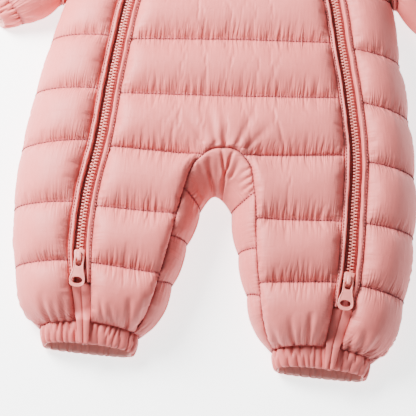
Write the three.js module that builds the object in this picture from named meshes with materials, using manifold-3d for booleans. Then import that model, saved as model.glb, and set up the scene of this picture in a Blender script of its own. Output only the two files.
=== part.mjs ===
// A quilted baby snowsuit lying on its back on a flat surface, front up, head towards +Y.
// Millimetres, +X to the suit's left as worn and the viewer's right, +Z up. Two long zips run from
// the collar to just above each ankle. The panels are quilted, a gusset runs down both inner legs,
// and gathered elastic casings end the legs and sleeves. The padded front lies low over the padded
// back, with a flat hollow between them that is open at the neck, the wrists and the ankles.
import * as THREE from "three";
import { mergeVertices } from "three/addons/utils/BufferGeometryUtils.js";
import Module from "manifold-3d";

const wasm = await Module();
wasm.setup();

// The tables measure from near the crotch. This puts the origin under the middle of the whole suit.
const LAID = { x: 0, y: -111.04 };

const SEAM = 0.3; // between sewn pieces
const EDGE_WALL = 11; // padded wall where the suit is widest
// Heights as shares of the front's height: the rim, and the hollow's ceiling and floor.
const SHARE = { rim: 0.39, ceiling: 0.68, floor: 0.27 };
// Plan distances over which the padded edges round off.
const ROUND = { side: 52, gap: 34, shoulder: 30, under: 16 };
const UNDER_TURN = (-55 * Math.PI) / 180; // how far a side panel turns under, from level
const UNDER_GAP = (4.2 * Math.PI) / 180; // turn between a side panel's foot and the back
const ARMPIT_EASE = 40; // the turning under fades out over this below the armpit
const ANKLE_EASE = 25; // the gusset turns straight across at the ankle and eases off over this

// Puff of the quilting over its seams, and the distance over which it rises from a long seam.
const PUFF = { centre: 8.5, side: 7.5, gusset: 4.5, sleeve: 7, collar: 3.5, rise: 16 };
const EDGE_PUFF = 0.45; // share of its puff that a panel keeps at the rim

// Outline from the garment's middle, on each side of it.
const SIDE = [
  { y: -119, half: 143 }, { y: -112, half: 152 }, { y: -104, half: 158 }, { y: -92, half: 163 },
  { y: -70, half: 167 }, { y: -36, half: 172 }, { y: 17, half: 174 }, { y: 70, half: 169.5 },
  { y: 120, half: 162 }, { y: 155, half: 155.5 }, { y: 190, half: 149.5 }, { y: 203, half: 147 },
];
const LEG_INSIDE = [
  { y: -119, half: 56 }, { y: -112, half: 49 }, { y: -104, half: 43.5 }, { y: -92, half: 37.5 },
  { y: -71, half: 32 }, { y: -56, half: 27.5 }, { y: -33, half: 22 }, { y: -14, half: 16 },
];
const CROTCH = { y: 12.5, archFoot: -14, archHalf: 16 };
const GUSSET_SEAM = [
  { y: -119, half: 60 }, { y: -110, half: 54 }, { y: -93, half: 47.5 }, { y: -70, half: 42.6 },
  { y: -40, half: 37.5 }, { y: -14, half: 34 }, { y: 10, half: 29.7 }, { y: 28, half: 26.2 },
];
const GUSSET_TOP = { y: 51, spring: 28, half: 26.2, lean: 0.16 };
const ARMHOLE = [
  { y: 203, half: 147 }, { y: 225, half: 139 }, { y: 255, half: 129.5 }, { y: 290, half: 122.5 },
  { y: 320, half: 120 },
];
// zipIn and zipOut are where the seams on either side of a zip reach the neck.
const NECK = { half: 50, frontY: 306, backY: 330, sideY: 337, zipIn: 317, zipOut: 331.2, gap: 0.8 };
const COLLAR = { half: 53, frontTop: 341, sideTop: 357, backTop: 362, wall: 5, frontWall: 3.2, under: 1.2 };

// The middle of each zip. shift is how far the front has rolled over the back, towards +X.
const ZIP_LINE = [
  { y: -137, half: 104, shift: 1.5 }, { y: -116, half: 106.6, shift: 1.5 },
  { y: -86, half: 111.5, shift: 2.5 }, { y: -50, half: 115.5, shift: 3 },
  { y: 0, half: 115.2, shift: 4.5 }, { y: 50, half: 111.4, shift: 8 }, { y: 100, half: 106, shift: 6.8 },
  { y: 150, half: 98.7, shift: 4.7 }, { y: 200, half: 90, shift: 2.6 }, { y: 260, half: 71, shift: 1 },
  { y: 300, half: 50, shift: 0 }, { y: 318, half: 39, shift: 0 }, { y: 346, half: 31, shift: 0 },
];
const MIDDLE_SHIFT = [
  { y: -119, shift: -2 }, { y: -40, shift: 0.5 }, { y: 10, shift: 2.5 }, { y: 51, shift: 5 },
  { y: 100, shift: 6.5 }, { y: 150, shift: 5 }, { y: 200, shift: 3 }, { y: 260, shift: 1 },
  { y: 306, shift: 0 },
];
// How high the front's seams stand over the surface.
const FRONT_TOP = [
  { y: -137, z: 26 }, { y: -119, z: 29 }, { y: -110, z: 33.5 }, { y: -98, z: 38 }, { y: -80, z: 41.5 },
  { y: -60, z: 43.5 }, { y: 0, z: 46 }, { y: 100, z: 47 }, { y: 200, z: 43.5 }, { y: 260, z: 41 },
  { y: 300, z: 37 }, { y: 330, z: 32 }, { y: 362, z: 26 },
];
// Zips and the strips beside them, as distances from a zip's middle and heights over the panels' ledges.
const STRIP_HALF = [{ y: -119, half: 6.6 }, { y: -86, half: 8.6 }, { y: -62, half: 10 }];
const LEDGE = { half: 2.6, drop: 4.4, step: 0.35 };
const WELT = { inner: 5.2, high: 5.4, crown: 6.6, lift: 0.5 };
const TAPE = { half: 4.3, thick: 0.8, lift: 0.5 };
const CHAIN = { half: 2.7, thick: 2.2, lift: 1.6 };
const ZIP = { foot: -85.4, chainFoot: -52.6, top: 344, step: 20, curveY: 284, curveStep: 10 };
const PLACKET = { top: -86, mouth: -134, mouthHalf: 4.2, thick: 3.4, edgeThick: 2.4, lift: 0.3, climb: 7,
  taper: 20 };

// Quilting seams. skew raises a row's +X half and lowers its -X half.
const CENTRE_ROWS = [
  { zip: -65, inner: -70.2, skew: -0.9 }, { zip: -11.2, inner: -14.2, skew: 1 },
  { zip: 46.9, inner: 43.2, skew: 4.1 }, { zip: 100, inner: 99, skew: 5 },
  { zip: 152.4, inner: 153, skew: 5 }, { zip: 205, inner: 206, skew: 4 }, { zip: 257, inner: 258, skew: 2 },
];
const SIDE_ROWS = [
  { zip: -63.8, edge: -68.2, skew: -2.2 }, { zip: -8.8, edge: -12.2, skew: -0.8 },
  { zip: 48.2, edge: 45.2, skew: -0.5 }, { zip: 100.8, edge: 98.8, skew: 2.3 },
  { zip: 153, edge: 151.3, skew: 2.2 }, { zip: 205, edge: 203, skew: 0 }, { zip: 257, edge: 260, skew: 0 },
];
const GUSSET_ROWS = [{ seam: -78, edge: -73 }, { seam: -37, edge: -36 }, { seam: 7, edge: -4 }];
// Rows of the back above the legs, from the side to the middle.
const BACK_ROWS = [
  { side: 125, middle: 75 }, { side: 151.3, middle: 110 }, { side: 163.7, middle: 140 },
  { side: 177.2, middle: 165 }, { side: 190.6, middle: 190 }, { side: 199.4, middle: 208 },
  { side: 203, middle: 225 }, { side: 225, middle: 245 },
  { side: 255, middle: 268 }, { side: 290, middle: 296 }, { side: 304, middle: 312 },
  { side: 314, middle: 323 }, { side: 320, middle: 330 },
];

// Sleeve corners, from the armhole's two ends to the wrist's, and its seams as shares of its length.
const SLEEVE = { under: [185.5, 176.3], over: [224, 230], axis: 36, widest: 41, wrist: 29 };
const SLEEVE_ROWS = [{ under: 0, over: 0 }, { under: 0.08, over: 0.34 }, { under: 0.4, over: 0.68 },
  { under: 1, over: 1 }];
// Ankle and wrist cuffs. The ankle seam bows up by bow, which fades out at bowFrom and at the mouth.
const ANKLE = { middle: 99.5, half: 43, mouthHalf: 39.5, length: 15, top: 28.5, mouthTop: 23, wall: 3.4,
  gathers: 22, end: -119.5, bow: 4.5, bowFrom: -60, gap: 0.6 };
const WRIST = { half: 31.5, mouthHalf: 28, length: 16, top: 27.5, mouthTop: 22, wall: 3.2, gathers: 16,
  gap: 0.7 };
const GATHER = { depth: 1.1, bulge: 1.8 };

const SLIDER = { length: 13, wide: 9.5, narrow: 6.6, thick: 4.6, top: -53.8, lift: 1.5 };
const BRIDGE = { wide: 2.2, half: 4.8, window: 3.4, rise: 1.5, bar: 1.3 };
const PULL = { axisY: -61.8, length: 26.6, topHalf: 4.3, footHalf: 6.7, thick: 1.8, bar: 1, tilt: 4 };
const PULL_LEAN = { left: 0.8, right: 5.3 }; // degrees that each pull hangs off the suit's length
const PULL_SLOT = { half: 1.8, from: 1, to: 7.2 };
const PULL_HOLE = { half: 4.6, high: 2.9, middle: 20.6 };
const AXIS_OVER_SLIDER = 1.5; // the pull's hinge over the slider's top

// How the suit was laid: the legs lean one way and the shoulders the other.
const LEAN = { legs: 0.035, legsFrom: -10, legsTo: -119, arms: 0.06, armsFrom: 150, armsTo: 200 };

const plastic = (color, roughness) => new THREE.MeshStandardMaterial({ color, roughness, metalness: 0 });
const CLOTH = plastic(0xe3a09b, 0.5);
const CUFF_CLOTH = plastic(0xd98f8a, 0.55);
const TAPE_CLOTH = plastic(0xb4615f, 0.8);
const TEETH = plastic(0xe0a39c, 0.4);
const ENAMEL = plastic(0xeab0a9, 0.35);

const group = new THREE.Group();
group.position.set(LAID.x, LAID.y, 0);

const mix = (a, b, t) => a + (b - a) * t;
const clamp = (t) => Math.min(1, Math.max(0, t));
const ease = (t) => clamp(t) ** 2 * (3 - 2 * clamp(t));
const rise = (q) => Math.sqrt(1 - (1 - clamp(q)) ** 2);

// The smooth value of one column of a table whose y column rises.
function column(table, key, y) {
  const last = table.length - 1;
  if (y <= table[0].y) return table[0][key];
  if (y >= table[last].y) return table[last][key];
  let i = 0;
  while (y > table[i + 1].y) i += 1;
  const slope = (k) => {
    const a = table[Math.max(k - 1, 0)];
    const b = table[Math.min(k + 1, last)];
    return (b[key] - a[key]) / (b.y - a.y);
  };
  const h = table[i + 1].y - table[i].y;
  const t = (y - table[i].y) / h;
  const [a, b] = [table[i][key], table[i + 1][key]];
  return (2 * t ** 3 - 3 * t ** 2 + 1) * a + (t ** 3 - 2 * t ** 2 + t) * h * slope(i)
    + (3 * t ** 2 - 2 * t ** 3) * b + (t ** 3 - t ** 2) * h * slope(i + 1);
}

const sideHalf = (y) => column(SIDE, "half", y);
const topAt = (y) => column(FRONT_TOP, "z", y);
const middleShift = (y) => column(MIDDLE_SHIFT, "shift", y);
const stripHalf = (y) => column(STRIP_HALF, "half", y);
const zipX = (side, y) => side * column(ZIP_LINE, "half", y) + column(ZIP_LINE, "shift", y);

function legInside(y) {
  if (y < CROTCH.archFoot) return column(LEG_INSIDE, "half", y);
  return CROTCH.archHalf * Math.sqrt(clamp((CROTCH.y - y) / (CROTCH.y - CROTCH.archFoot)));
}

function gussetHalf(y) {
  const top = GUSSET_TOP;
  if (y < top.spring) return column(GUSSET_SEAM, "half", y);
  const up = (y - top.spring) / (top.y - top.spring);
  return (top.half - top.lean * (y - top.spring)) * Math.sqrt(clamp(1 - up * up));
}

// The neck seam and the shoulder seam, by distance from the middle.
const frontNeck = (x) => mix(NECK.frontY, NECK.sideY, clamp(Math.abs(x) / NECK.half) ** 2);
const backNeck = (x) => mix(NECK.backY, NECK.sideY, clamp(Math.abs(x) / NECK.half) ** 2);
const SHOULDER = ARMHOLE[ARMHOLE.length - 1];
function shoulderLine(x) {
  const out = (Math.abs(x) - NECK.half) / (SHOULDER.half - NECK.half);
  return mix(NECK.sideY, SHOULDER.y, out);
}

// A line through plan points, with the garment on its left, that can be walked by its length.
class Path {
  constructor(points) {
    this.points = points;
    this.lengths = [0];
    for (let i = 1; i < points.length; i += 1) {
      const [a, b] = [points[i - 1], points[i]];
      this.lengths.push(this.lengths[i - 1] + Math.hypot(b[0] - a[0], b[1] - a[1]));
    }
  }

  get length() {
    return this.lengths[this.lengths.length - 1];
  }

  at(length) {
    let i = 1;
    while (i < this.points.length - 1 && this.lengths[i] < length) i += 1;
    const t = (length - this.lengths[i - 1]) / (this.lengths[i] - this.lengths[i - 1]);
    return [0, 1].map((k) => mix(this.points[i - 1][k], this.points[i][k], clamp(t)));
  }

  // The length at which a path that climbs reaches y.
  lengthAtY(y) {
    let i = 1;
    while (i < this.points.length - 1 && this.points[i][1] < y) i += 1;
    const [a, b] = [this.points[i - 1], this.points[i]];
    return mix(this.lengths[i - 1], this.lengths[i], clamp((y - a[1]) / (b[1] - a[1] || 1)));
  }

  // How far a plan point is, and the direction from the line into the garment.
  nearest(x, y) {
    let best = { distance: Infinity, away: [0, 1] };
    for (let i = 1; i < this.points.length; i += 1) {
      const [a, b] = [this.points[i - 1], this.points[i]];
      const [dx, dy] = [b[0] - a[0], b[1] - a[1]];
      const long = Math.hypot(dx, dy);
      const t = clamp(((x - a[0]) * dx + (y - a[1]) * dy) / (long * long));
      const [ox, oy] = [x - a[0] - t * dx, y - a[1] - t * dy];
      const distance = Math.hypot(ox, oy);
      const near = distance < 1;
      const away = near ? [-dy / long, dx / long] : [ox / distance, oy / distance];
      if (distance < best.distance) best = { distance, away };
    }
    return best;
  }
}

// Plan points of a half-width function, closer together towards its rounded top.
function traced(half, foot, top, steps) {
  return Array.from({ length: steps + 1 }, (_, i) => {
    const y = mix(foot, top, Math.sin((Math.PI / 2) * (i / steps)));
    return [half(y), y];
  });
}

const FAR = { wrist: 60, foot: -150 };
const axis = (SLEEVE.axis * Math.PI) / 180;
const SLEEVE_DIR = [Math.cos(axis), -Math.sin(axis)];
const beyond = ([x, y]) => [x + SLEEVE_DIR[0] * FAR.wrist, y + SLEEVE_DIR[1] * FAR.wrist];
const SIDE_STEPS = 40;
const ARMPIT = ARMHOLE[0];
const OUTER_EDGE = new Path([
  ...Array.from({ length: SIDE_STEPS + 1 }, (_, i) => mix(FAR.foot, ARMPIT.y, i / SIDE_STEPS))
    .map((y) => [sideHalf(y), y]),
  SLEEVE.under, beyond(SLEEVE.under),
]);
const GAP_CLIMB = new Path(traced(legInside, ANKLE.end, CROTCH.y, 48));
const GAP_EDGE = new Path([...GAP_CLIMB.points].reverse().concat([[legInside(ANKLE.end), FAR.foot]]));
const SHOULDER_EDGE = new Path([
  beyond(SLEEVE.over), SLEEVE.over, [SHOULDER.half, SHOULDER.y], [NECK.half, NECK.sideY],
]);
const GUSSET_LINE = new Path(traced(gussetHalf, ANKLE.end, GUSSET_TOP.y, 60));
const EDGES = [
  { path: OUTER_EDGE, above: ROUND.side }, { path: GAP_EDGE, above: ROUND.gap },
  { path: SHOULDER_EDGE, above: ROUND.shoulder },
];

// How far the front has risen from the rim at a plan point, from 0 to 1, and the same underneath.
function swell(x, y) {
  return EDGES.reduce((share, { path, above }) => (
    share * rise(path.nearest(Math.abs(x), y).distance / above)), 1);
}
function sink(x, y) {
  return Math.min(...EDGES.map(({ path }) => rise(path.nearest(Math.abs(x), y).distance / ROUND.under)));
}

// A plan point moved into the garment by the wall's thickness near the edges.
function drawnIn(x, y, roundOf) {
  const side = x < 0 ? -1 : 1;
  let [px, py] = [Math.abs(x), y];
  EDGES.forEach((edge) => {
    const { distance, away } = edge.path.nearest(Math.abs(x), y);
    const move = EDGE_WALL * (1 - clamp(distance / roundOf(edge)));
    px += away[0] * move;
    py += away[1] * move;
  });
  return [side * px, py];
}

const frontZ = (x, y) => topAt(y) * mix(SHARE.rim, 1, swell(x, y));

// The two faces of the wall at a plan point of the front, raised by puff along the surface's slope.
function above(x, y, puff = 0) {
  const z = frontZ(x, y);
  const slope = new THREE.Vector3(z - frontZ(x + 1, y), z - frontZ(x, y + 1), 1).normalize();
  const ceiling = topAt(y) * mix(SHARE.rim, SHARE.ceiling, swell(x, y));
  return {
    outside: [x + slope.x * puff, y + slope.y * puff, z + slope.z * puff + SEAM],
    inside: [...drawnIn(x, y, (edge) => edge.above), ceiling + SEAM],
  };
}

// Keeps a place's inside on the armhole's seam, gap to one side of it.
function onArmhole(place, gap) {
  const [x, y, z] = place.inside;
  const half = column(ARMHOLE, "half", y) + gap;
  return { outside: place.outside, inside: [Math.sign(x) * half, y, z] };
}

// The same underneath. outward and puff swell a piece that turns under.
function below(x, y, puff = 0, outward = [0, 0]) {
  const share = sink(x, y);
  const top = topAt(y);
  return {
    outside: [x + outward[0] * puff, y + outward[1] * puff, top * SHARE.rim * (1 - share)],
    inside: [...drawnIn(x, y, () => ROUND.under), top * mix(SHARE.rim, SHARE.floor, share)],
  };
}

// The laid pose.
function laid([x, y, z]) {
  const legs = LEAN.legs * ease((LEAN.legsFrom - y) / (LEAN.legsFrom - LEAN.legsTo));
  const arms = LEAN.arms * ease((y - LEAN.armsFrom) / (LEAN.armsTo - LEAN.armsFrom));
  const off = clamp(Math.abs(Math.abs(x) - ANKLE.middle) / ANKLE.half);
  const fade = y < ANKLE.end ? clamp(1 - (ANKLE.end - y) / ANKLE.length)
    : ease((ANKLE.bowFrom - y) / (ANKLE.bowFrom - ANKLE.end));
  return [x, y + x * (arms - legs) + ANKLE.bow * (1 - off ** 2) * fade, z];
}

function addMesh(name, geometry, material) {
  const mesh = new THREE.Mesh(geometry, material);
  mesh.name = name;
  group.add(mesh);
}

// A closed wall. Each corner outside has its partner inside, and corners may share a partner, so that
// the plain inside has fewer faces than the quilted outside.
class Wall {
  constructor() {
    this.points = [];
    this.keys = new Map();
    this.partner = new Map();
    this.quads = [];
  }

  index(key, point) {
    if (!this.keys.has(key)) {
      this.keys.set(key, this.points.length);
      this.points.push(laid(point));
    }
    return this.keys.get(key);
  }

  corner(key, outside, insideKey, inside) {
    const corner = this.index(`out ${key}`, outside);
    this.partner.set(corner, this.index(`in ${insideKey}`, inside));
    return corner;
  }

  // corners[row][column] faces the reader when rows go up and columns go right. falling picks which
  // way the quads are cut into triangles.
  grid(corners, flip = false, falling = true) {
    for (let r = 0; r + 1 < corners.length; r += 1) {
      const across = Math.min(corners[r].length, corners[r + 1].length) - 1;
      for (let c = 0; c < across; c += 1) {
        const quad = [corners[r][c], corners[r][c + 1], corners[r + 1][c + 1], corners[r + 1][c]];
        if (falling) quad.push(quad.shift());
        const [p, q, s, t] = quad;
        this.quads.push(flip ? [p, t, s, q] : quad);
      }
    }
  }

  geometry() {
    const faces = [];
    const edges = new Map();
    const add = (face) => {
      if (new Set(face).size === 3) faces.push(face);
    };
    const turned = (corner) => this.partner.get(corner);
    for (const [a, b, c, d] of this.quads) {
      for (const face of [[a, b, c], [a, c, d]]) {
        if (new Set(face).size < 3) continue;
        add(face);
        add([...face].reverse().map(turned));
        for (const [p, q] of [[face[0], face[1]], [face[1], face[2]], [face[2], face[0]]]) {
          if (!edges.delete(`${q},${p}`)) edges.set(`${p},${q}`, [p, q]);
        }
      }
    }
    // Pieces that meet at a seam cut its face into the same triangles, from the foot's side up.
    for (const [p, q] of edges.values()) {
      const rising = this.points[p][1] < this.points[q][1];
      add([q, p, rising ? turned(q) : turned(p)]);
      add(rising ? [p, turned(p), turned(q)] : [q, turned(p), turned(q)]);
    }
    const geometry = new THREE.BufferGeometry();
    geometry.setAttribute("position", new THREE.Float32BufferAttribute(this.points.flat(), 3));
    geometry.setIndex(faces.flat());
    return geometry;
  }
}

// Shares of a quilted channel at which a row of points is placed, and the puff there.
const CHANNEL = [0, 0.07, 0.24, 0.5, 0.76, 0.93];
const puffAcross = (f) => (1 - Math.abs(2 * f - 1) ** 2.4) ** 0.8;
const puffFrom = (distance) => (1 - (1 - clamp(distance / PUFF.rise)) ** 2) ** 0.6;

// The rows of a quilted panel: row k of its seams, plus a share f of the channel above it.
function stations(channels, special = {}) {
  const list = [];
  for (let k = 0; k < channels; k += 1) {
    for (const f of special[k] ?? CHANNEL) list.push({ k, f, next: k + 1 });
  }
  return [...list, { k: channels, f: 0, next: channels }];
}

// For each row, the index of the nearest seam's row.
const seamRows = (rows) => rows.map(({ k, f }) => (
  rows.findIndex((row) => row.k === Math.round(k + f) && row.f === 0)));

// Adds rows of sections to a wall. owner[i] is the column whose inside column i uses, and dense
// columns keep each row's own inside, as a curved seam needs.
function addRows(wall, tag, rows, sections, { owner, dense, flip, shared = () => null }) {
  const seamRow = seamRows(rows);
  const corners = sections.map((section, j) => section.map((place, i) => {
    const name = shared(j, i) ?? tag;
    const insideRow = dense.includes(i) ? j : seamRow[j];
    const insideName = shared(insideRow, owner[i]) ?? tag;
    return wall.corner(`${name} ${j} ${i}`, place.outside,
      `${insideName} ${insideRow} ${owner[i]}`, sections[insideRow][owner[i]].inside);
  }));
  wall.grid(corners, flip);
}

// The height that the ledges beside a zip share.
function ledgeZ(side, y) {
  const x = zipX(side, y);
  const half = stripHalf(y);
  return Math.min(frontZ(x - half, y), frontZ(x + half, y)) - LEDGE.drop;
}

function ledgeAt(x, y, side) {
  const place = above(x, y);
  place.outside[2] = ledgeZ(side, y);
  return place;
}

const SKEW_AT_GUSSET = 0.3; // share of a row's skew that its inner end keeps
const MIDDLE_LINE = new Path([...GUSSET_LINE.points, [0, NECK.frontY]]);
const APEX = GUSSET_LINE.length;
const ARCH_SHARES = [0, 0.22, 0.48, 0.74];
const SPRING_CHANNEL = [0, 0.07, 0.24, 0.42, 0.58, 0.7, 0.8, 0.9];
const CENTRE_SHARES = [0, 0.05, 0.16, 0.38, 0.62, 0.84, 0.95, 1];
const TOP_CHANNEL = [0.5, 0.76, 0.93];
const MIDDLE_COLUMN = CENTRE_SHARES.length + 1; // after the two columns of the ledge

// One half of the front between the zips, from the zip to the gusset's seam or the middle.
function centreHalf(wall, side) {
  const rows = CENTRE_ROWS.map(({ zip, inner, skew }) => ({ zip: zip + side * skew, inner, skew }));
  const last = rows.length + 1;
  const lengths = [
    0,
    ...rows.map(({ inner, skew }) => (
      MIDDLE_LINE.lengthAtY(inner + (inner < GUSSET_TOP.y ? side * skew * SKEW_AT_GUSSET : 0)))),
    MIDDLE_LINE.length,
  ];
  const zipYs = [ANKLE.end, ...rows.map(({ zip }) => zip), NECK.zipIn];
  const apexShare = (APEX - lengths[3]) / (lengths[4] - lengths[3]);
  const arch = ARCH_SHARES.map((share) => share * apexShare);
  const list = stations(last, { 2: SPRING_CHANNEL, 3: [...arch, apexShare, ...TOP_CHANNEL] });
  const neck = { x: (u) => mix(zipX(side, NECK.zipIn) - side * stripHalf(NECK.zipIn), 0, u),
    y: (u) => mix(NECK.zipIn, NECK.frontY, u) };
  const isMiddle = (j) => mix(lengths[list[j].k], lengths[list[j].next], list[j].f) >= APEX - 1e-6;
  const sections = list.map(({ k, f, next }, j) => {
    const length = mix(lengths[k], lengths[next], f);
    const [innerX, innerY] = MIDDLE_LINE.at(length);
    const zip = mix(zipYs[k], zipYs[next], f);
    const seamX = zipX(side, zip) - side * stripHalf(zip);
    const insideX = (isMiddle(j) ? 0 : side * innerX) + middleShift(innerY);
    const endY = (u) => {
      const y = mix(zip, innerY, u);
      if (next < last) return y;
      return y + (frontNeck(neck.x(u)) - neck.y(u)) * (k === last ? 1 : f);
    };
    const points = CENTRE_SHARES.map((u) => {
      let x = mix(seamX, insideX, u);
      let y = endY(u);
      const atSeam = u === 1 && !isMiddle(j);
      if (atSeam || (u === 1 && Math.abs(length - APEX) < 1e-6)) {
        const { away } = GAP_EDGE.nearest(Math.abs(x), y);
        x += Math.sign(x) * Math.abs(away[0]) * (isMiddle(j) ? 0 : 2 * SEAM);
        y += away[1] * 2 * SEAM;
      }
      const fromInner = isMiddle(j) ? PUFF.rise * ease((length - APEX) / PUFF.rise) : Math.abs(x - insideX);
      const inner = u < 0.5 ? 1 : puffFrom(isMiddle(j) ? Math.hypot(fromInner, x - insideX) : fromInner);
      const puff = PUFF.centre * puffAcross(f) * puffFrom(Math.abs(x - seamX)) * inner;
      return above(x, y, puff);
    });
    const ledge = [LEDGE.half, stripHalf(zip) - LEDGE.step].map((off) => {
      const x = zipX(side, zip) - side * off;
      return ledgeAt(x, endY(0), side);
    });
    return [...ledge, ...points];
  });
  addRows(wall, side, list, sections, {
    owner: [0, 0, 0, 3, 3, 5, 6, 6, 9, 9], dense: [0, 1, 2, 8, 9], flip: side > 0,
    shared: (j, i) => (i === MIDDLE_COLUMN && isMiddle(j) ? "middle" : null),
  });
}

function frontCentre() {
  const wall = new Wall();
  for (const side of [-1, 1]) centreHalf(wall, side);
  addMesh("front_centre", wall.geometry(), CLOTH);
}

// How far the side turns under at a height along it: the turn fades out at the armpit.
const underTurn = (y) => UNDER_TURN * ease((ARMPIT.y - y) / ARMPIT_EASE);
const turnedIn = (turn) => ROUND.under * (1 - Math.cos(turn));
const SIDE_TURNS = [0, 0.2, 0.38, 0.52, 0.66, 0.8, 0.91, 1];
const FULL_PUFF = 1.8; // a side panel is fully puffed at one over this share of its width
const topLine = (x) => (Math.abs(x) > NECK.half ? shoulderLine(x) : frontNeck(x));

// The front panel outside a zip, from the seam under the side, or the armhole, to the zip.
function sidePanel(side) {
  const wall = new Wall();
  const rows = SIDE_ROWS.map(({ zip, edge, skew }) => ({ zip: zip + side * skew, edge }));
  const last = rows.length + 1;
  const edgeYs = [ANKLE.end, ...rows.map(({ edge }) => edge), SHOULDER.y];
  const zipYs = [ANKLE.end, ...rows.map(({ zip }) => zip), NECK.zipOut];
  const list = stations(last);
  const neckSeam = side * zipX(side, NECK.zipOut) + stripHalf(NECK.zipOut);
  const top = { x: (share) => mix(SHOULDER.half, neckSeam, share),
    y: (share) => mix(SHOULDER.y, NECK.zipOut, share) };
  const sections = list.map(({ k, f, next }) => {
    const edge = mix(edgeYs[k], edgeYs[next], f);
    const zip = mix(zipYs[k], zipYs[next], f);
    const sleeved = edge >= ARMPIT.y;
    const sideX = sleeved ? column(ARMHOLE, "half", edge) - SEAM : sideHalf(edge);
    const seamX = side * zipX(side, zip) + stripHalf(zip);
    const from = sleeved ? 0 : underTurn(edge);
    const full = Math.acos(1 - Math.min(1, (sideX - seamX) / ROUND.side));
    const endY = (share) => {
      const y = mix(edge, zip, share);
      if (next < last) return y;
      return y + (topLine(top.x(share)) - top.y(share)) * (k === last ? 1 : f);
    };
    const points = SIDE_TURNS.map((t) => {
      const turn = mix(from, full, t);
      const share = sleeved ? t : Math.max(0, (1 - Math.cos(turn)) / (1 - Math.cos(full)));
      if (turn < 0) {
        const x = sideX - turnedIn(turn);
        const puff = PUFF.side * EDGE_PUFF * puffAcross(f) * (1 - turn / from);
        return below(side * x, endY(0), puff, [side * Math.cos(turn), 0]);
      }
      const x = mix(sideX, seamX, share);
      const strength = sleeved ? puffFrom(sideX - x) : mix(EDGE_PUFF, 1, ease(share * FULL_PUFF));
      const puff = PUFF.side * strength * puffAcross(f) * puffFrom(x - seamX);
      const place = above(side * x, endY(share), puff);
      return sleeved && t === 0 ? onArmhole(place, -SEAM) : place;
    });
    const ledge = [stripHalf(zip) - LEDGE.step, LEDGE.half].map((off) => {
      const x = zipX(side, zip) + side * off;
      return ledgeAt(x, endY(1), side);
    });
    return [...points, ...ledge];
  });
  addRows(wall, side, list, sections, {
    owner: [0, 1, 2, 3, 5, 5, 7, 7, 9, 9], dense: [0, 1, 8, 9], flip: side > 0,
  });
  addMesh(side < 0 ? "side_front_left" : "side_front_right", wall.geometry(), CLOTH);
}

const GUSSET_ARCH = [0, 0.05, 0.15, 0.28, 0.42, 0.56, 0.7, 0.85];

// The gusset's rows, each from a point on its seam to a point on the edge of the leg gap.
function gussetRows() {
  const seams = [0, ...GUSSET_ROWS.map(({ seam }) => GUSSET_LINE.lengthAtY(seam)), APEX];
  const edges = [0, ...GUSSET_ROWS.map(({ edge }) => GAP_CLIMB.lengthAtY(edge)), GAP_CLIMB.length];
  const list = stations(GUSSET_ROWS.length + 1, { [GUSSET_ROWS.length]: GUSSET_ARCH });
  return list.map(({ k, f, next }) => ({
    k, f, next, atApex: k > GUSSET_ROWS.length,
    seam: GUSSET_LINE.at(mix(seams[k], seams[next], f)),
    edge: GAP_CLIMB.at(mix(edges[k], edges[next], f)),
  }));
}

// A plan point under the edge of the leg gap, turned under from a row's edge point. At the ankle the
// wall turns straight across, and at the crotch straight up.
function underGap({ edge, atApex }, turn) {
  const near = GAP_EDGE.nearest(edge[0], edge[1]).away;
  const share = ease((edge[1] - ANKLE.end) / ANKLE_EASE);
  const [ax, ay] = atApex ? [0, 1] : [mix(1, near[0], share), mix(0, near[1], share)];
  const long = Math.hypot(ax, ay);
  const direction = [ax / long, ay / long];
  const at = [0, 1].map((i) => edge[i] + direction[i] * turnedIn(turn));
  return { direction, at };
}

const GUSSET_TURNS = [1, 0.78, 0.55, 0.3, 0.08];
const GUSSET_UNDER = [0.4, 1];

function gussetHalfPiece(wall, side) {
  const list = gussetRows();
  const apex = list.length - 1;
  const sections = list.map(({ k, f, seam, edge }, j) => {
    const [sx, sy] = [j === apex ? 0 : side * seam[0], seam[1]];
    const start = [sx + middleShift(sy), sy];
    const rim = [side * edge[0], edge[1]];
    const wide = Math.hypot(start[0] - rim[0], start[1] - rim[1]);
    const full = Math.acos(1 - Math.min(1, wide / ROUND.gap));
    const inArch = k >= GUSSET_ROWS.length;
    const across = inArch ? puffAcross(mix(0, 0.5, j === apex ? 1 : f)) : puffAcross(f);
    const over = GUSSET_TURNS.map((t) => {
      const share = (1 - Math.cos(full * t)) / (1 - Math.cos(full));
      const [x, y] = [mix(rim[0], start[0], share), mix(rim[1], start[1], share)];
      return above(x, y, PUFF.gusset * across * puffFrom(wide * (1 - share)) * mix(0.5, 1, share));
    });
    const under = GUSSET_UNDER.map((t) => {
      const turn = UNDER_TURN * t;
      const { direction: [ax, ay], at: [x, y] } = underGap(list[j], turn);
      const puff = PUFF.gusset * 0.5 * across * (1 - t);
      return below(side * x, y, puff, [-side * ax * Math.cos(turn), -ay * Math.cos(turn)]);
    });
    return [...over, ...under];
  });
  addRows(wall, side, list, sections, {
    owner: [0, 1, 3, 3, 4, 5, 6], dense: [0, 1, 2, 3, 4, 5, 6], flip: side > 0,
    shared: (j) => (j === apex ? "apex" : null),
  });
}

function gusset() {
  const wall = new Wall();
  for (const side of [-1, 1]) gussetHalfPiece(wall, side);
  addMesh("inner_leg_gusset", wall.geometry(), CLOTH);
}

// One half of the back: from the side to the inside of the leg, and above the crotch to the middle.
const BACK_TURNS = [0, 0.5, 1];
const BACK_FIELD = [0.34, 0.67];

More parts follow.
